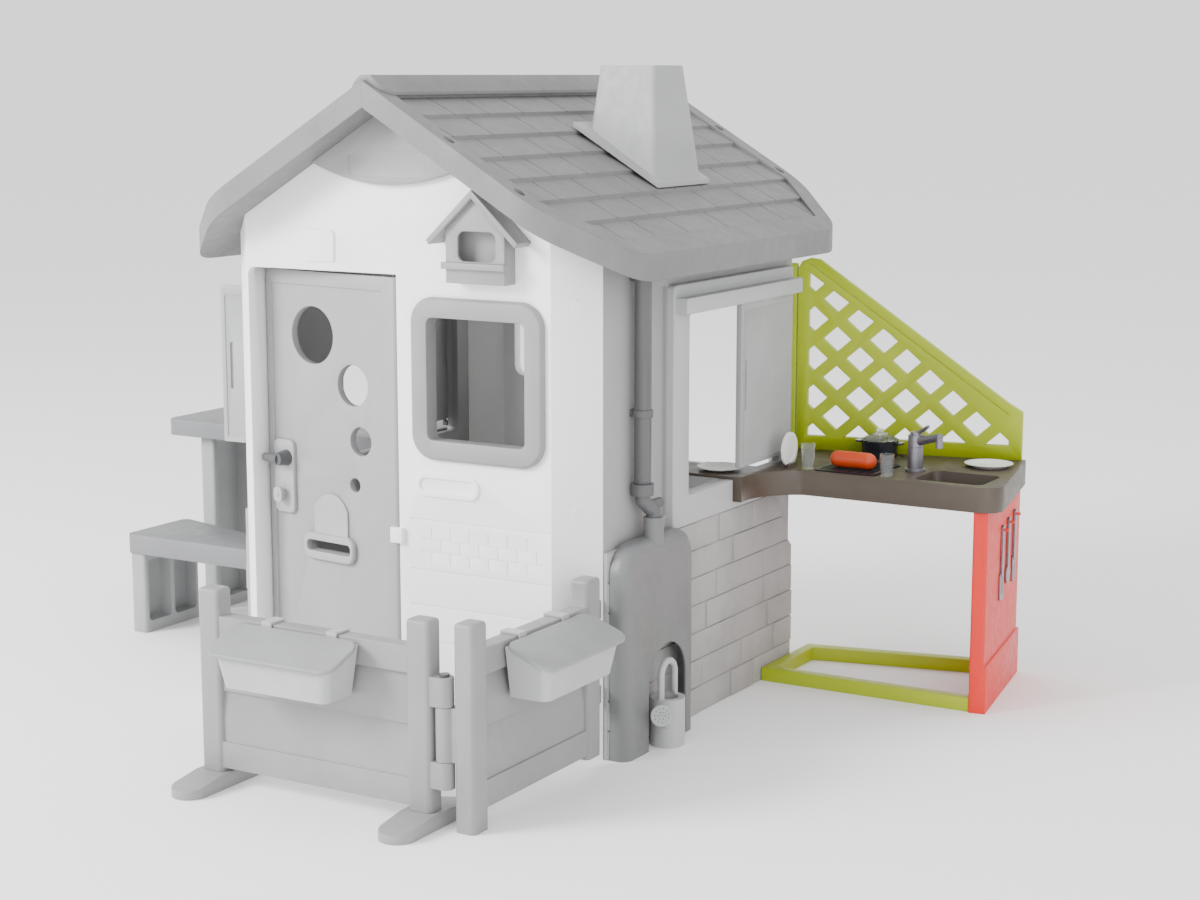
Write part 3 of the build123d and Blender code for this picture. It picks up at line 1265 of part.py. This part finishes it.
if __name__ == "__main__":
    os.makedirs("parts", exist_ok=True)
    parts = build_parts()
    shift = to_origin(parts)
    for name, shape in parts.items():
        export_step(shift * shape, os.path.join("parts", name + ".step"))
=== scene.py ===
import json
import math

import bmesh
import bpy
from bpy.props import FloatProperty, FloatVectorProperty, PointerProperty
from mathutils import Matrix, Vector


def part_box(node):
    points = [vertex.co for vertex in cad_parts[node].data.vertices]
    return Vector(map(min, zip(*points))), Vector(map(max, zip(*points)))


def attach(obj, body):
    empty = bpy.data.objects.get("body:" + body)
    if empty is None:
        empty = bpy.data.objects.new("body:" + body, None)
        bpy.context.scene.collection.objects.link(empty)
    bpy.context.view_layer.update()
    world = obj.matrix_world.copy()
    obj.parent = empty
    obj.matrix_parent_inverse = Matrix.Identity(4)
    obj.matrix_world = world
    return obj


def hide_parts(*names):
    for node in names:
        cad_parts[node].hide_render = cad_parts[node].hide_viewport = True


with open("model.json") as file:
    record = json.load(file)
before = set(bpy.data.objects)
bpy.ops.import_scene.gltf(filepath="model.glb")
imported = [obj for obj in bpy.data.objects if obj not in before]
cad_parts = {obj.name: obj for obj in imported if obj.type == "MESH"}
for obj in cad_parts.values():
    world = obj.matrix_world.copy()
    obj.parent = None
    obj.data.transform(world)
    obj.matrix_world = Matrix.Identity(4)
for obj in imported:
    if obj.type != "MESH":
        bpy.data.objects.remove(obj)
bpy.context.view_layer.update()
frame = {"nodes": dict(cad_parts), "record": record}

bl_info = {
    "name": "Moulded garden playhouse",
    "version": (1, 0, 0),
    "blender": (4, 5, 0),
    "location": "3D View > Sidebar > Playhouse",
    "description": "Finishes and small fittings for the moulded playhouse with its fence and play kitchen",
    "category": "Object",
}

MM = 0.001
NODES = frame["nodes"]
BODY_OF = {node: body for body, nodes in frame["record"]["behaviour"]["bodies"].items() for node in nodes}
SLOT_OF = {row["node"]: row["material_slot"] for row in frame["record"]["subparts"]}


# ------------------------------------------------------------------ colours
def from_hex(code):
    """sRGB hex as three numbers from 0 to 1, for a colour field."""
    return tuple(int(code[i:i + 2], 16) / 255 for i in (0, 2, 4))


def to_linear(colour, alpha=1.0):
    """sRGB colour field as linear RGBA for a socket."""
    out = [c / 12.92 if c <= 0.04045 else ((c + 0.055) / 1.055) ** 2.4 for c in colour]
    return (*out, alpha)


def colour_field(name, description, code):
    return FloatVectorProperty(name=name, description=description, default=from_hex(code),
                               min=0, max=1, size=3, subtype="COLOR_GAMMA")


def length_field(name, description, millimetres):
    return FloatProperty(name=name, description=description, default=millimetres * MM,
                         min=0, unit="LENGTH", subtype="DISTANCE")


class PlayhouseColours(bpy.types.PropertyGroup):
    wall: colour_field("Walls", "Front and back walls", "fbfbfa")
    # painted shade: the side walls are the same white plastic as the front wall, and this grey stands in for the
    # shade on them
    side_wall_painted_shade: colour_field("Side walls", "Side walls and window mouldings", "9a9a9a")
    # painted shade: a lighter grey on the raised window mouldings of the white side walls
    moulding_painted_shade: colour_field("Mouldings", "Mouldings round the side windows", "b4b5b6")
    stone: colour_field("Stone plinth", "Stone relief at the foot of the side walls", "a3a2a1")
    roof: colour_field("Roof", "Tiled roof halves and ridge", "747475")
    chimney: colour_field("Chimney", "Chimney stack", "a0a1a2")
    trim: colour_field("Trim", "Gable board, window frame and birdhouse", "8c8c8c")
    door: colour_field("Door", "Door leaf", "989898")
    shutter: colour_field("Shutters", "Window shutters", "a2a3a4")
    handle: colour_field("Handle", "Door handle and small dark fittings", "4a4b4d")
    pipe: colour_field("Downpipe", "Downpipe and elbow", "58585a")
    barrel: colour_field("Rain barrel", "Rain barrel shell", "737475")
    can: colour_field("Watering can", "Watering can", "adaeaf")
    fence: colour_field("Fence", "Fence panels and feet", "8c8c8c")
    planter: colour_field("Planters", "Planter tubs", "aeafb0")
    planter_lid: colour_field("Planter lids", "Planter lids", "8e8f90")
    table: colour_field("Table", "Table top and bench seat", "77787a")
    leg: colour_field("Table legs", "Legs of the table and bench", "9a9b9c")
    lime: colour_field("Trellis", "Trellis and floor frame", "a3b400")
    counter: colour_field("Counter", "Kitchen counter", "4a4036")
    side_leg: colour_field("Kitchen leg", "Kitchen side leg", "dd2010")
    metal: colour_field("Faucet", "Faucet and utensils", "85838b")
    pot: colour_field("Pot", "Pot and hob grill", "1d2028")
    sausage: colour_field("Sausage", "Play sausage", "cf4414")
    plate: colour_field("Plates", "Plates", "eeeeec")
    clear: colour_field("Clear plastic", "Glasses and pot lid", "f2f6f8")
    floor: colour_field("Floor", "Studio floor and backdrop", "ffffff")


class PlayhouseSizes(bpy.types.PropertyGroup):
    edge: length_field("Edge rounding", "Rounding of the moulded edges", 1.6)
    grain: length_field("Grain size", "Size of the fine eroded mould grain", 2.2)
    round_over: length_field("Round-over", "Rounding cut into the edges of the moulded copies", 1.0)
    rose_pip: length_field("Rose pip", "Radius of a pip on the face of the watering can's rose", 1.9)
    plate: length_field("Sill plate", "Radius of the plate on the counter's tongue", 46)
    camera: length_field("Camera lens", "Lens of the camera", 65.94)


# ------------------------------------------------------------------ materials
def add_node(tree, kind, settings=None, values=None, links=None):
    """Adds a node, sets its properties and socket values, and links sockets to it."""
    node = tree.nodes.new(kind)
    for key, value in (settings or {}).items():
        setattr(node, key, value)
    for key, value in (values or {}).items():
        node.inputs[key].default_value = value
    for key, source in (links or {}).items():
        tree.links.new(source, node.inputs[key])
    return node


def pattern(tree, size, stretch=(1, 1, 1), detail=3.0, rough=0.5):
    """Noise on Object coordinates with features of the given size in metres."""
    place = add_node(tree, "ShaderNodeTexCoord").outputs["Object"]
    mapped = add_node(tree, "ShaderNodeMapping", values={"Scale": [s / size for s in stretch]},
                      links={"Vector": place})
    return add_node(tree, "ShaderNodeTexNoise", values={"Scale": 1.0, "Detail": detail, "Roughness": rough},
                    links={"Vector": mapped.outputs["Vector"]}).outputs["Fac"]


def moulded_plastic(name, colour, roughness=0.5, mottle=0.05, relief=(), edge=None, coat=0.0, ior=1.51):
    """Rotationally moulded polyethylene: satin, a fine eroded grain, a slightly cloudy colour.
    relief is a list of (feature size, height, stretch) for coarser patterns in the mould."""
    material = bpy.data.materials.new(name)
    material.use_nodes = True
    tree = material.node_tree
    shader = tree.nodes["Principled BSDF"]
    sizes = bpy.context.scene.playhouse_sizes
    base = to_linear(colour)
    cloud = pattern(tree, 0.09, detail=4)
    low = add_node(tree, "ShaderNodeValToRGB", links={"Fac": cloud})
    dark = tuple(c * (1 - mottle) for c in base[:3]) + (1,)
    light = tuple(min(1, c * (1 + mottle)) for c in base[:3]) + (1,)
    low.color_ramp.elements[0].position, low.color_ramp.elements[0].color = 0.33, dark
    low.color_ramp.elements[1].position, low.color_ramp.elements[1].color = 0.67, light
    tree.links.new(low.outputs["Color"], shader.inputs["Base Color"])
    sheen = add_node(tree, "ShaderNodeMapRange",
                     values={"From Min": 0.3, "From Max": 0.7,
                             "To Min": roughness - 0.06, "To Max": roughness + 0.07},
                     links={"Value": pattern(tree, 0.02, detail=2)})
    tree.links.new(sheen.outputs["Result"], shader.inputs["Roughness"])
    rounding = add_node(tree, "ShaderNodeBevel", settings={"samples": 4},
                        values={"Radius": sizes.edge if edge is None else edge})
    normal = rounding.outputs["Normal"]
    for size, height, stretch in [(sizes.grain, 0.00007, (1, 1, 1)), *relief]:
        bump = add_node(tree, "ShaderNodeBump", values={"Strength": 1.0, "Distance": height},
                        links={"Height": pattern(tree, size, stretch, detail=3), "Normal": normal})
        normal = bump.outputs["Normal"]
    tree.links.new(normal, shader.inputs["Normal"])
    shader.inputs["IOR"].default_value = ior
    shader.inputs["Coat Weight"].default_value = coat
    shader.inputs["Coat Roughness"].default_value = 0.15
    return material


def painted_shade_beyond_reach(material, colour, reach):
    """Gives another colour to what lies further than reach from the middle plane of the house: a painted shade,
    lighter than the wall's, on the raised window mouldings of the white side walls.
    """
    tree = material.node_tree
    shader = tree.nodes["Principled BSDF"]
    base = shader.inputs["Base Color"].links[0].from_socket
    place = add_node(tree, "ShaderNodeTexCoord").outputs["Object"]
    apart = add_node(tree, "ShaderNodeSeparateXYZ", links={"Vector": place})
    out = add_node(tree, "ShaderNodeMath", settings={"operation": "SUBTRACT"},
                   values={1: HOUSE_MIDDLE}, links={0: apart.outputs["X"]})
    width = add_node(tree, "ShaderNodeMath", settings={"operation": "ABSOLUTE"}, links={0: out.outputs["Value"]})
    past = add_node(tree, "ShaderNodeMath", settings={"operation": "GREATER_THAN"},
                    values={1: reach}, links={0: width.outputs["Value"]})
    mixed = add_node(tree, "ShaderNodeMix", settings={"data_type": "RGBA"}, values={7: to_linear(colour)},
                     links={0: past.outputs["Value"], 6: base})
    tree.links.new(mixed.outputs[2], shader.inputs["Base Color"])
    return material


def clear_plastic(name, colour):
    """Injection moulded clear styrene: thin, glossy, faint flow marks."""
    material = bpy.data.materials.new(name)
    material.use_nodes = True
    tree = material.node_tree
    shader = tree.nodes["Principled BSDF"]
    shader.inputs["Base Color"].default_value = to_linear(colour)
    shader.inputs["Transmission Weight"].default_value = 0.9
    shader.inputs["IOR"].default_value = 1.2
    shader.inputs["Alpha"].default_value = 0.45
    flow = pattern(tree, 0.012, stretch=(1, 1, 0.3))
    bump = add_node(tree, "ShaderNodeBump", values={"Strength": 0.4, "Distance": 0.0002}, links={"Height": flow})
    tree.links.new(bump.outputs["Normal"], shader.inputs["Normal"])
    gloss = add_node(tree, "ShaderNodeMapRange", values={"To Min": 0.03, "To Max": 0.12}, links={"Value": flow})
    tree.links.new(gloss.outputs["Result"], shader.inputs["Roughness"])
    return material


def metallised_plastic(name, colour):
    """ABS with a silver paint: dull metallic with fine flake."""
    material = moulded_plastic(name, colour, roughness=0.32, mottle=0.08)
    shader = material.node_tree.nodes["Principled BSDF"]
    shader.inputs["Metallic"].default_value = 0.75
    return material


HOUSE_MIDDLE = sum(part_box("front_wall")[i].x for i in (0, 1)) / 2
SIDE_WALL_REACH = max(v.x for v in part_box("front_wall")) - HOUSE_MIDDLE + 0.0005
ALONG_BOARDS = (0.09, 0.09, 1.0)     # grain drawn out along both level directions


def make_finishes():
    """One finish for each material slot of the record."""
    c = bpy.context.scene.playhouse_colours
    # coarse and fine relief cut into the mould, as (feature size, height, stretch) in metres
    slate = [(0.035, 0.0016, (1, 1, 1)), (0.009, 0.0005, (1, 1, 1))]
    rock = [(0.03, 0.0018, (1, 1, 1)), (0.008, 0.0006, (1, 1, 1))]
    timber = [(0.012, 0.0005, ALONG_BOARDS)]
    # injection moulded ABS fittings: a soft highlight on small dark parts
    grey_fitting = moulded_plastic("satin_grey_fitting", c.handle, 0.42)
    # moulded polypropylene trim: even satin grey
    trim = moulded_plastic("moulded_light_trim", c.trim, 0.5)
    # polyethylene with a timber grain: faint level streaks along the boards
    fence = moulded_plastic("timber_grained_fence", c.fence, 0.5, relief=timber)
    table = moulded_plastic("timber_grained_table", c.table, 0.48, relief=timber)
    # lime polypropylene: clean saturated colour with a soft sheen
    lime = moulded_plastic("lime_polypropylene", c.lime, 0.42, mottle=0.03)
    # silver painted ABS: dull metal glint on the faucet and utensils
    metal = metallised_plastic("silver_painted_plastic", c.metal)
    return {
        # blow moulded polyethylene walls: matt, nearly even white; the side walls are the same white plastic
        # painted grey as painted shade, with a lighter painted shade on their window mouldings
        "wall_white": moulded_plastic("white_polyethylene", c.wall, 0.55, mottle=0.01),
        # painted shade: grey on the white side walls, lighter grey on their mouldings
        "side_white": painted_shade_beyond_reach(moulded_plastic("painted_shade_side_polyethylene", c.side_wall_painted_shade, 0.55, mottle=0.02),
                               c.moulding_painted_shade, SIDE_WALL_REACH),
        # polyethylene with a rock relief: broken, slightly blotchy light on each stone
        "stone_grey": moulded_plastic("stone_relief_plastic", c.stone, 0.6, mottle=0.09, relief=rock),
        # polyethylene with a slate relief: low ripples across each tile
        "roof_grey": moulded_plastic("slate_relief_roof", c.roof, 0.52, mottle=0.08, relief=slate),
        "chimney_grey": moulded_plastic("chimney_polyethylene", c.chimney, 0.5),
        "bolt_grey": grey_fitting,
        "trim_grey": trim,
        "frame_grey": trim,
        "birdhouse_grey": trim,
        "birdhouse_roof_grey": trim,
        "plug_white": moulded_plastic("white_plug", c.wall, 0.35),
        "door_grey": moulded_plastic("door_polyethylene", c.door, 0.5, mottle=0.03),
        "door_trim": moulded_plastic("door_trim_plastic", c.shutter, 0.42),
        "lime": lime,
        "handle_grey": grey_fitting,
        "pin_grey": grey_fitting,
        "shutter_grey": moulded_plastic("shutter_polypropylene", c.shutter, 0.45),
        "pipe_grey": moulded_plastic("downpipe_plastic", c.pipe, 0.4),
        # smooth polyethylene shells: long soft highlights down the round sides
        "barrel_grey": moulded_plastic("barrel_polyethylene", c.barrel, 0.42),
        "can_grey": moulded_plastic("watering_can_plastic", c.can, 0.35, coat=0.2),
        "fence_grey": fence,
        "planter_grey": moulded_plastic("planter_tub_plastic", c.planter, 0.42),
        "planter_lid_grey": moulded_plastic("planter_lid_plastic", c.planter_lid, 0.45),
        "table_grey": table,
        "table_leg_grey": moulded_plastic("table_leg_polyethylene", c.leg, 0.5),
        "counter_brown": moulded_plastic("brown_counter_plastic", c.counter, 0.42, mottle=0.06),
        # black polystyrene: tight dark reflections
        "grill_black": moulded_plastic("black_grill_plastic", c.pot, 0.35, edge=0.0006),
        "leg_red": moulded_plastic("red_polypropylene", c.side_leg, 0.42, mottle=0.03),
        "floor_lime": lime,
        "faucet_grey": metal,
        "pot_black": moulded_plastic("blue_black_pot_plastic", c.pot, 0.25, coat=0.4, edge=0.0006),
        # clear polystyrene: see-through with bright rims
        "clear": clear_plastic("clear_styrene", c.clear),
        "sausage_orange": moulded_plastic("sausage_plastic", c.sausage, 0.38, mottle=0.12),
        # glossy white melamine-like plastic: crisp rim highlight
        "plate_white": moulded_plastic("white_plate_plastic", c.plate, 0.3, edge=0.0006),
        "utensil_grey": metal,
    }


FINISH = {}


def finish_of(node):
    return FINISH[SLOT_OF[node]]


# ------------------------------------------------------------------ operators
class PLAYHOUSE_OT_finishes(bpy.types.Operator):
    """Makes the finishes and gives one to every moulded part"""
    bl_idname = "playhouse.finishes"
    bl_label = "Finish the moulded parts"

    def execute(self, context):
        FINISH.update(make_finishes())
        for name, part in NODES.items():
            part.data.materials.clear()
            part.data.materials.append(finish_of(name))
        return {"FINISHED"}


def alone(piece):
    """Makes a piece the only selected and the active object."""
    bpy.ops.object.select_all(action="DESELECT")
    piece.select_set(True)
    bpy.context.view_layer.objects.active = piece


def moulded_copy(node):
    """Copy of a CAD node with flat faces joined up, ready for work on its faces."""
    piece = bpy.data.objects.new(node + "_moulded", NODES[node].data.copy())
    bpy.context.scene.collection.objects.link(piece)
    alone(piece)
    bpy.ops.object.mode_set(mode="EDIT")
    bpy.ops.mesh.select_all(action="SELECT")
    bpy.ops.mesh.remove_doubles(threshold=0.02 * MM)
    bpy.ops.mesh.dissolve_limited(angle_limit=math.radians(0.6))
    bpy.ops.object.mode_set(mode="OBJECT")
    return piece


def round_over(piece, width, clamp=False):
    """Rounds the sharp edges of a piece and smooths what is left."""
    alone(piece)
    edge = piece.modifiers.new("round_over", "BEVEL")
    edge.width = width
    edge.segments = 2
    edge.limit_method = "ANGLE"
    edge.angle_limit = math.radians(30)
    edge.use_clamp_overlap = clamp
    bpy.ops.object.modifier_apply(modifier=edge.name)
    bpy.ops.object.shade_smooth_by_angle(angle=math.radians(35))


def stand_in(piece, node):
    """Puts a finished piece in the place of its CAD node."""
    piece.data.materials.clear()
    piece.data.materials.append(finish_of(node))
    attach(piece, BODY_OF[node])
    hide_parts(node)


def mould(nodes, share=1.0, clamp=False):
    """Rounded copies of several nodes; share scales the round-over for thin pieces."""
    width = bpy.context.scene.playhouse_sizes.round_over * share
    for node in nodes:
        piece = moulded_copy(node)
        round_over(piece, width, clamp)
        stand_in(piece, node)


def select_faces(piece, wanted):
    """Selects, in edit mode, the faces that a test picks by normal and area."""
    mesh = bmesh.from_edit_mesh(piece.data)
    for face in mesh.faces:
        face.select_set(bool(wanted(face)))
    bmesh.update_edit_mesh(piece.data)


class PLAYHOUSE_OT_walls(bpy.types.Operator):
    """Rounds the walls, the stone plinth, the window frame and the gable board"""
    bl_idname = "playhouse.walls"
    bl_label = "Walls"

    def execute(self, context):
        mould(("front_window_frame", "gable_board"))
        mould(("front_wall", "back_wall", "right_wall", "left_wall", "right_stone_base", "left_stone_base"),
              clamp=True)
        return {"FINISHED"}


class PLAYHOUSE_OT_roof(bpy.types.Operator):
    """Rounds the ridge cap between the two roof halves"""
    bl_idname = "playhouse.roof"
    bl_label = "Ridge cap"

    def execute(self, context):
        mould(("ridge_cap",))
        return {"FINISHED"}


class PLAYHOUSE_OT_birdhouse(bpy.types.Operator):
    """Rounds the birdhouse and its roof"""
    bl_idname = "playhouse.birdhouse"
    bl_label = "Birdhouse"

    def execute(self, context):
        mould(("birdhouse_body", "birdhouse_roof"))
        return {"FINISHED"}


class PLAYHOUSE_OT_door(bpy.types.Operator):
    """Rounds the door leaf, the letter slot frame and the lock plate"""
    bl_idname = "playhouse.door"
    bl_label = "Door"

    def execute(self, context):
        mould(("door_leaf", "lock_plate"), 0.8, clamp=True)
        mould(("letter_slot_frame",), 0.8)
        return {"FINISHED"}


class PLAYHOUSE_OT_shutters(bpy.types.Operator):
    """Rounds the three window shutters"""
    bl_idname = "playhouse.shutters"
    bl_label = "Shutters"

    def execute(self, context):
        mould(("shutter_right", "shutter_left_front", "shutter_left_rear"), clamp=True)
        return {"FINISHED"}


class PLAYHOUSE_OT_rainwater(bpy.types.Operator):
    """Rounds the rain barrel and puts the pips on the watering can's rose"""
    bl_idname = "playhouse.rainwater"
    bl_label = "Rain barrel and watering can"

    def execute(self, context):
        mould(("rain_barrel", "downpipe"), 0.8, clamp=True)
        pip = context.scene.playhouse_sizes.rose_pip
        aim = Vector(ROSE_AIM).normalized()
        across = aim.cross(Vector((0, 0, 1))).normalized()
        up = across.cross(aim)
        middle = Vector(ROSE_MIDDLE)
        bpy.ops.object.select_all(action="DESELECT")
        pips = []
        for ring, count in ((0.0, 1), (0.0068, 6), (0.0135, 11)):
            for number in range(count):
                turn = 2 * math.pi * number / count
                place = middle + ring * (math.cos(turn) * across + math.sin(turn) * up)
                bpy.ops.mesh.primitive_uv_sphere_add(segments=10, ring_count=6, radius=pip * 0.6, location=place)
                pips.append(context.object)
        bpy.ops.object.select_all(action="DESELECT")
        for one in pips:
            one.select_set(True)
        context.view_layer.objects.active = pips[0]
        bpy.ops.object.join()
        rose = context.object
        rose.name = "can_rose_pips"
        bpy.ops.object.transform_apply(location=True, rotation=True, scale=True)
        bpy.ops.object.shade_smooth()
        rose.data.materials.append(FINISH["handle_grey"])
        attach(rose, BODY_OF["watering_can"])
        return {"FINISHED"}


class PLAYHOUSE_OT_fence(bpy.types.Operator):
    """Rounds the fence panels and the feet"""
    bl_idname = "playhouse.fence"
    bl_label = "Fence"

    def execute(self, context):
        mould(("fence_front_panel", "fence_side_panel", "fence_feet"))
        return {"FINISHED"}


class PLAYHOUSE_OT_planters(bpy.types.Operator):
    """Rounds the planter lids"""
    bl_idname = "playhouse.planters"
    bl_label = "Planters"

    def execute(self, context):
        mould(("planter_front_lid", "planter_side_lid"), 0.6)
        return {"FINISHED"}


class PLAYHOUSE_OT_furniture(bpy.types.Operator):
    """Rounds the picnic table and the bench"""
    bl_idname = "playhouse.furniture"
    bl_label = "Table and bench"

    def execute(self, context):
        mould(("table_top", "table_leg", "bench_seat", "bench_leg"), 0.9)
        return {"FINISHED"}


class PLAYHOUSE_OT_kitchen(bpy.types.Operator):
    """Rounds the counter, the trellis, the side leg and the floor frame"""
    bl_idname = "playhouse.kitchen"
    bl_label = "Play kitchen"

    def execute(self, context):
        mould(("trellis", "floor_frame"))
        mould(("counter", "side_leg"), clamp=True)
        return {"FINISHED"}


class PLAYHOUSE_OT_plate(bpy.types.Operator):
    """Models the plate that lies on the counter's tongue inside the window"""
    bl_idname = "playhouse.plate"
    bl_label = "Plate on the sill"

    def execute(self, context):
        radius = context.scene.playhouse_sizes.plate
        place = Vector(PLATE_PLACE)
        bpy.ops.object.select_all(action="DESELECT")
        bpy.ops.mesh.primitive_cylinder_add(vertices=72, radius=radius * 0.62, depth=2.4 * MM,
                                            location=place + Vector((0, 0, 1.7 * MM)))
        plate = context.object
        plate.name = "sill_plate"
        bpy.ops.object.transform_apply(location=True)
        bpy.ops.object.mode_set(mode="EDIT")
        select_faces(plate, lambda f: abs(f.normal.z) < 0.5)
        bpy.ops.mesh.extrude_region_shrink_fatten(TRANSFORM_OT_shrink_fatten={"value": radius * 0.38})
        mesh = bmesh.from_edit_mesh(plate.data)
        for vertex in mesh.verts:
            if (vertex.co - place).xy.length > radius * 0.9:
                vertex.co.z += 6 * MM
        bmesh.update_edit_mesh(plate.data)
        bpy.ops.mesh.select_all(action="SELECT")
        bpy.ops.mesh.normals_make_consistent(inside=False)
        bpy.ops.object.mode_set(mode="OBJECT")
        round_over(plate, 0.7 * MM)
        plate.data.materials.append(FINISH["plate_white"])
        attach(plate, BODY_OF["counter"])
        return {"FINISHED"}


HOUSE_SHIFT = Vector((72.3033, 187.4189, 0)) * MM       # from the drawing frame of the part
ROSE_AIM = (0.30, -0.80, 0.52)
ROSE_MIDDLE = HOUSE_SHIFT + Vector((424.5 + 47.5 + 77 * 0.30, -254 - 77 * 0.80, 38 + 77 * 0.52)) * MM
PLATE_PLACE = HOUSE_SHIFT + Vector((366, 160, 456)) * MM


class PLAYHOUSE_OT_stage(bpy.types.Operator):
    """Adds the floor, the soft lights and the camera"""
    bl_idname = "playhouse.stage"
    bl_label = "Set the stage"

    def execute(self, context):
        colours = context.scene.playhouse_colours
        bpy.ops.object.select_all(action="DESELECT")
        bpy.ops.mesh.primitive_plane_add(size=60, location=(0, 0, 0))
        floor = context.object
        floor.name = "studio_floor"
        paint = bpy.data.materials.new("studio_paint")
        paint.use_nodes = True
        shader = paint.node_tree.nodes["Principled BSDF"]
        shader.inputs["Base Color"].default_value = to_linear(colours.floor)
        shader.inputs["Roughness"].default_value = 0.9
        floor.data.materials.append(paint)
        for name, place, size, power in LIGHTS:
            add_light(name, place, size, power)
        world = bpy.data.worlds.new("soft_sky")
        world.use_nodes = True
        sky = world.node_tree.nodes["Background"]
        sky.inputs["Color"].default_value = (1, 1, 1, 1)
        sky.inputs["Strength"].default_value = SKY_STRENGTH
        context.scene.world = world
        lens = bpy.data.cameras.new("studio_camera")
        lens.lens = context.scene.playhouse_sizes.camera / MM
        lens.sensor_width = 36
        lens.clip_end = 200
        camera = bpy.data.objects.new("studio_camera", lens)
        context.scene.collection.objects.link(camera)
        az, el = math.radians(CAMERA_TURN), math.radians(CAMERA_DROP)
        back = Vector((math.sin(az) * math.cos(el), -math.cos(az) * math.cos(el), math.sin(el)))
        camera.location = CAMERA_PLACE
        camera.rotation_mode = "QUATERNION"
        camera.rotation_quaternion = back.to_track_quat("Z", "Y")
        context.scene.camera = camera
        return {"FINISHED"}


SKY_STRENGTH = 1.5
CAMERA_TURN = 30.36
CAMERA_DROP = 9.69
CAMERA_PLACE = (2.4573, -3.5816, 1.250)
LIGHTS = (
    ("key_softbox", (-3.4, -4.6, 3.4), 2.4, 620),
    ("fill_softbox", (4.6, -3.4, 2.0), 2.4, 60),
    ("top_softbox", (-0.5, 0.0, 5.5), 4.0, 60),
)


def add_light(name, place, size, power):
    """Square soft light aimed at the middle of the house."""
    bpy.ops.object.light_add(type="AREA", location=place)
    light = bpy.context.object
    light.name = name
    light.data.size = size
    light.data.energy = power
    aim = Vector((0, 0, 0.5)) - Vector(place)
    light.rotation_mode = "QUATERNION"
    light.rotation_quaternion = aim.to_track_quat("-Z", "Y")


class PLAYHOUSE_PT_panel(bpy.types.Panel):
    """Lists the steps that build the looks"""
    bl_idname = "PLAYHOUSE_PT_panel"
    bl_label = "Playhouse"
    bl_space_type = "VIEW_3D"
    bl_region_type = "UI"
    bl_category = "Playhouse"

    def draw(self, context):
        for step in STEPS:
            self.layout.operator(step.bl_idname)
        for group in (context.scene.playhouse_sizes, context.scene.playhouse_colours):
            for name in group.bl_rna.properties.keys():
                if name not in ("rna_type", "name"):
                    self.layout.prop(group, name)


STEPS = (PLAYHOUSE_OT_finishes, PLAYHOUSE_OT_walls, PLAYHOUSE_OT_roof, PLAYHOUSE_OT_birdhouse, PLAYHOUSE_OT_door,
         PLAYHOUSE_OT_shutters, PLAYHOUSE_OT_rainwater, PLAYHOUSE_OT_fence, PLAYHOUSE_OT_planters,
         PLAYHOUSE_OT_furniture, PLAYHOUSE_OT_kitchen, PLAYHOUSE_OT_plate, PLAYHOUSE_OT_stage)
CLASSES = (PlayhouseColours, PlayhouseSizes, *STEPS, PLAYHOUSE_PT_panel)


def register():
    for item in CLASSES:
        bpy.utils.register_class(item)
    bpy.types.Scene.playhouse_colours = PointerProperty(type=PlayhouseColours)
    bpy.types.Scene.playhouse_sizes = PointerProperty(type=PlayhouseSizes)


def unregister():
    del bpy.types.Scene.playhouse_sizes
    del bpy.types.Scene.playhouse_colours
    for item in reversed(CLASSES):
        bpy.utils.unregister_class(item)


def main():
    register()
    bpy.ops.playhouse.finishes()
    bpy.ops.playhouse.walls()
    bpy.ops.playhouse.roof()
    bpy.ops.playhouse.birdhouse()
    bpy.ops.playhouse.door()
    bpy.ops.playhouse.shutters()
    bpy.ops.playhouse.rainwater()
    bpy.ops.playhouse.fence()
    bpy.ops.playhouse.planters()
    bpy.ops.playhouse.furniture()
    bpy.ops.playhouse.kitchen()
    bpy.ops.playhouse.plate()
    bpy.ops.playhouse.stage()


if __name__ == "__main__":
    main()
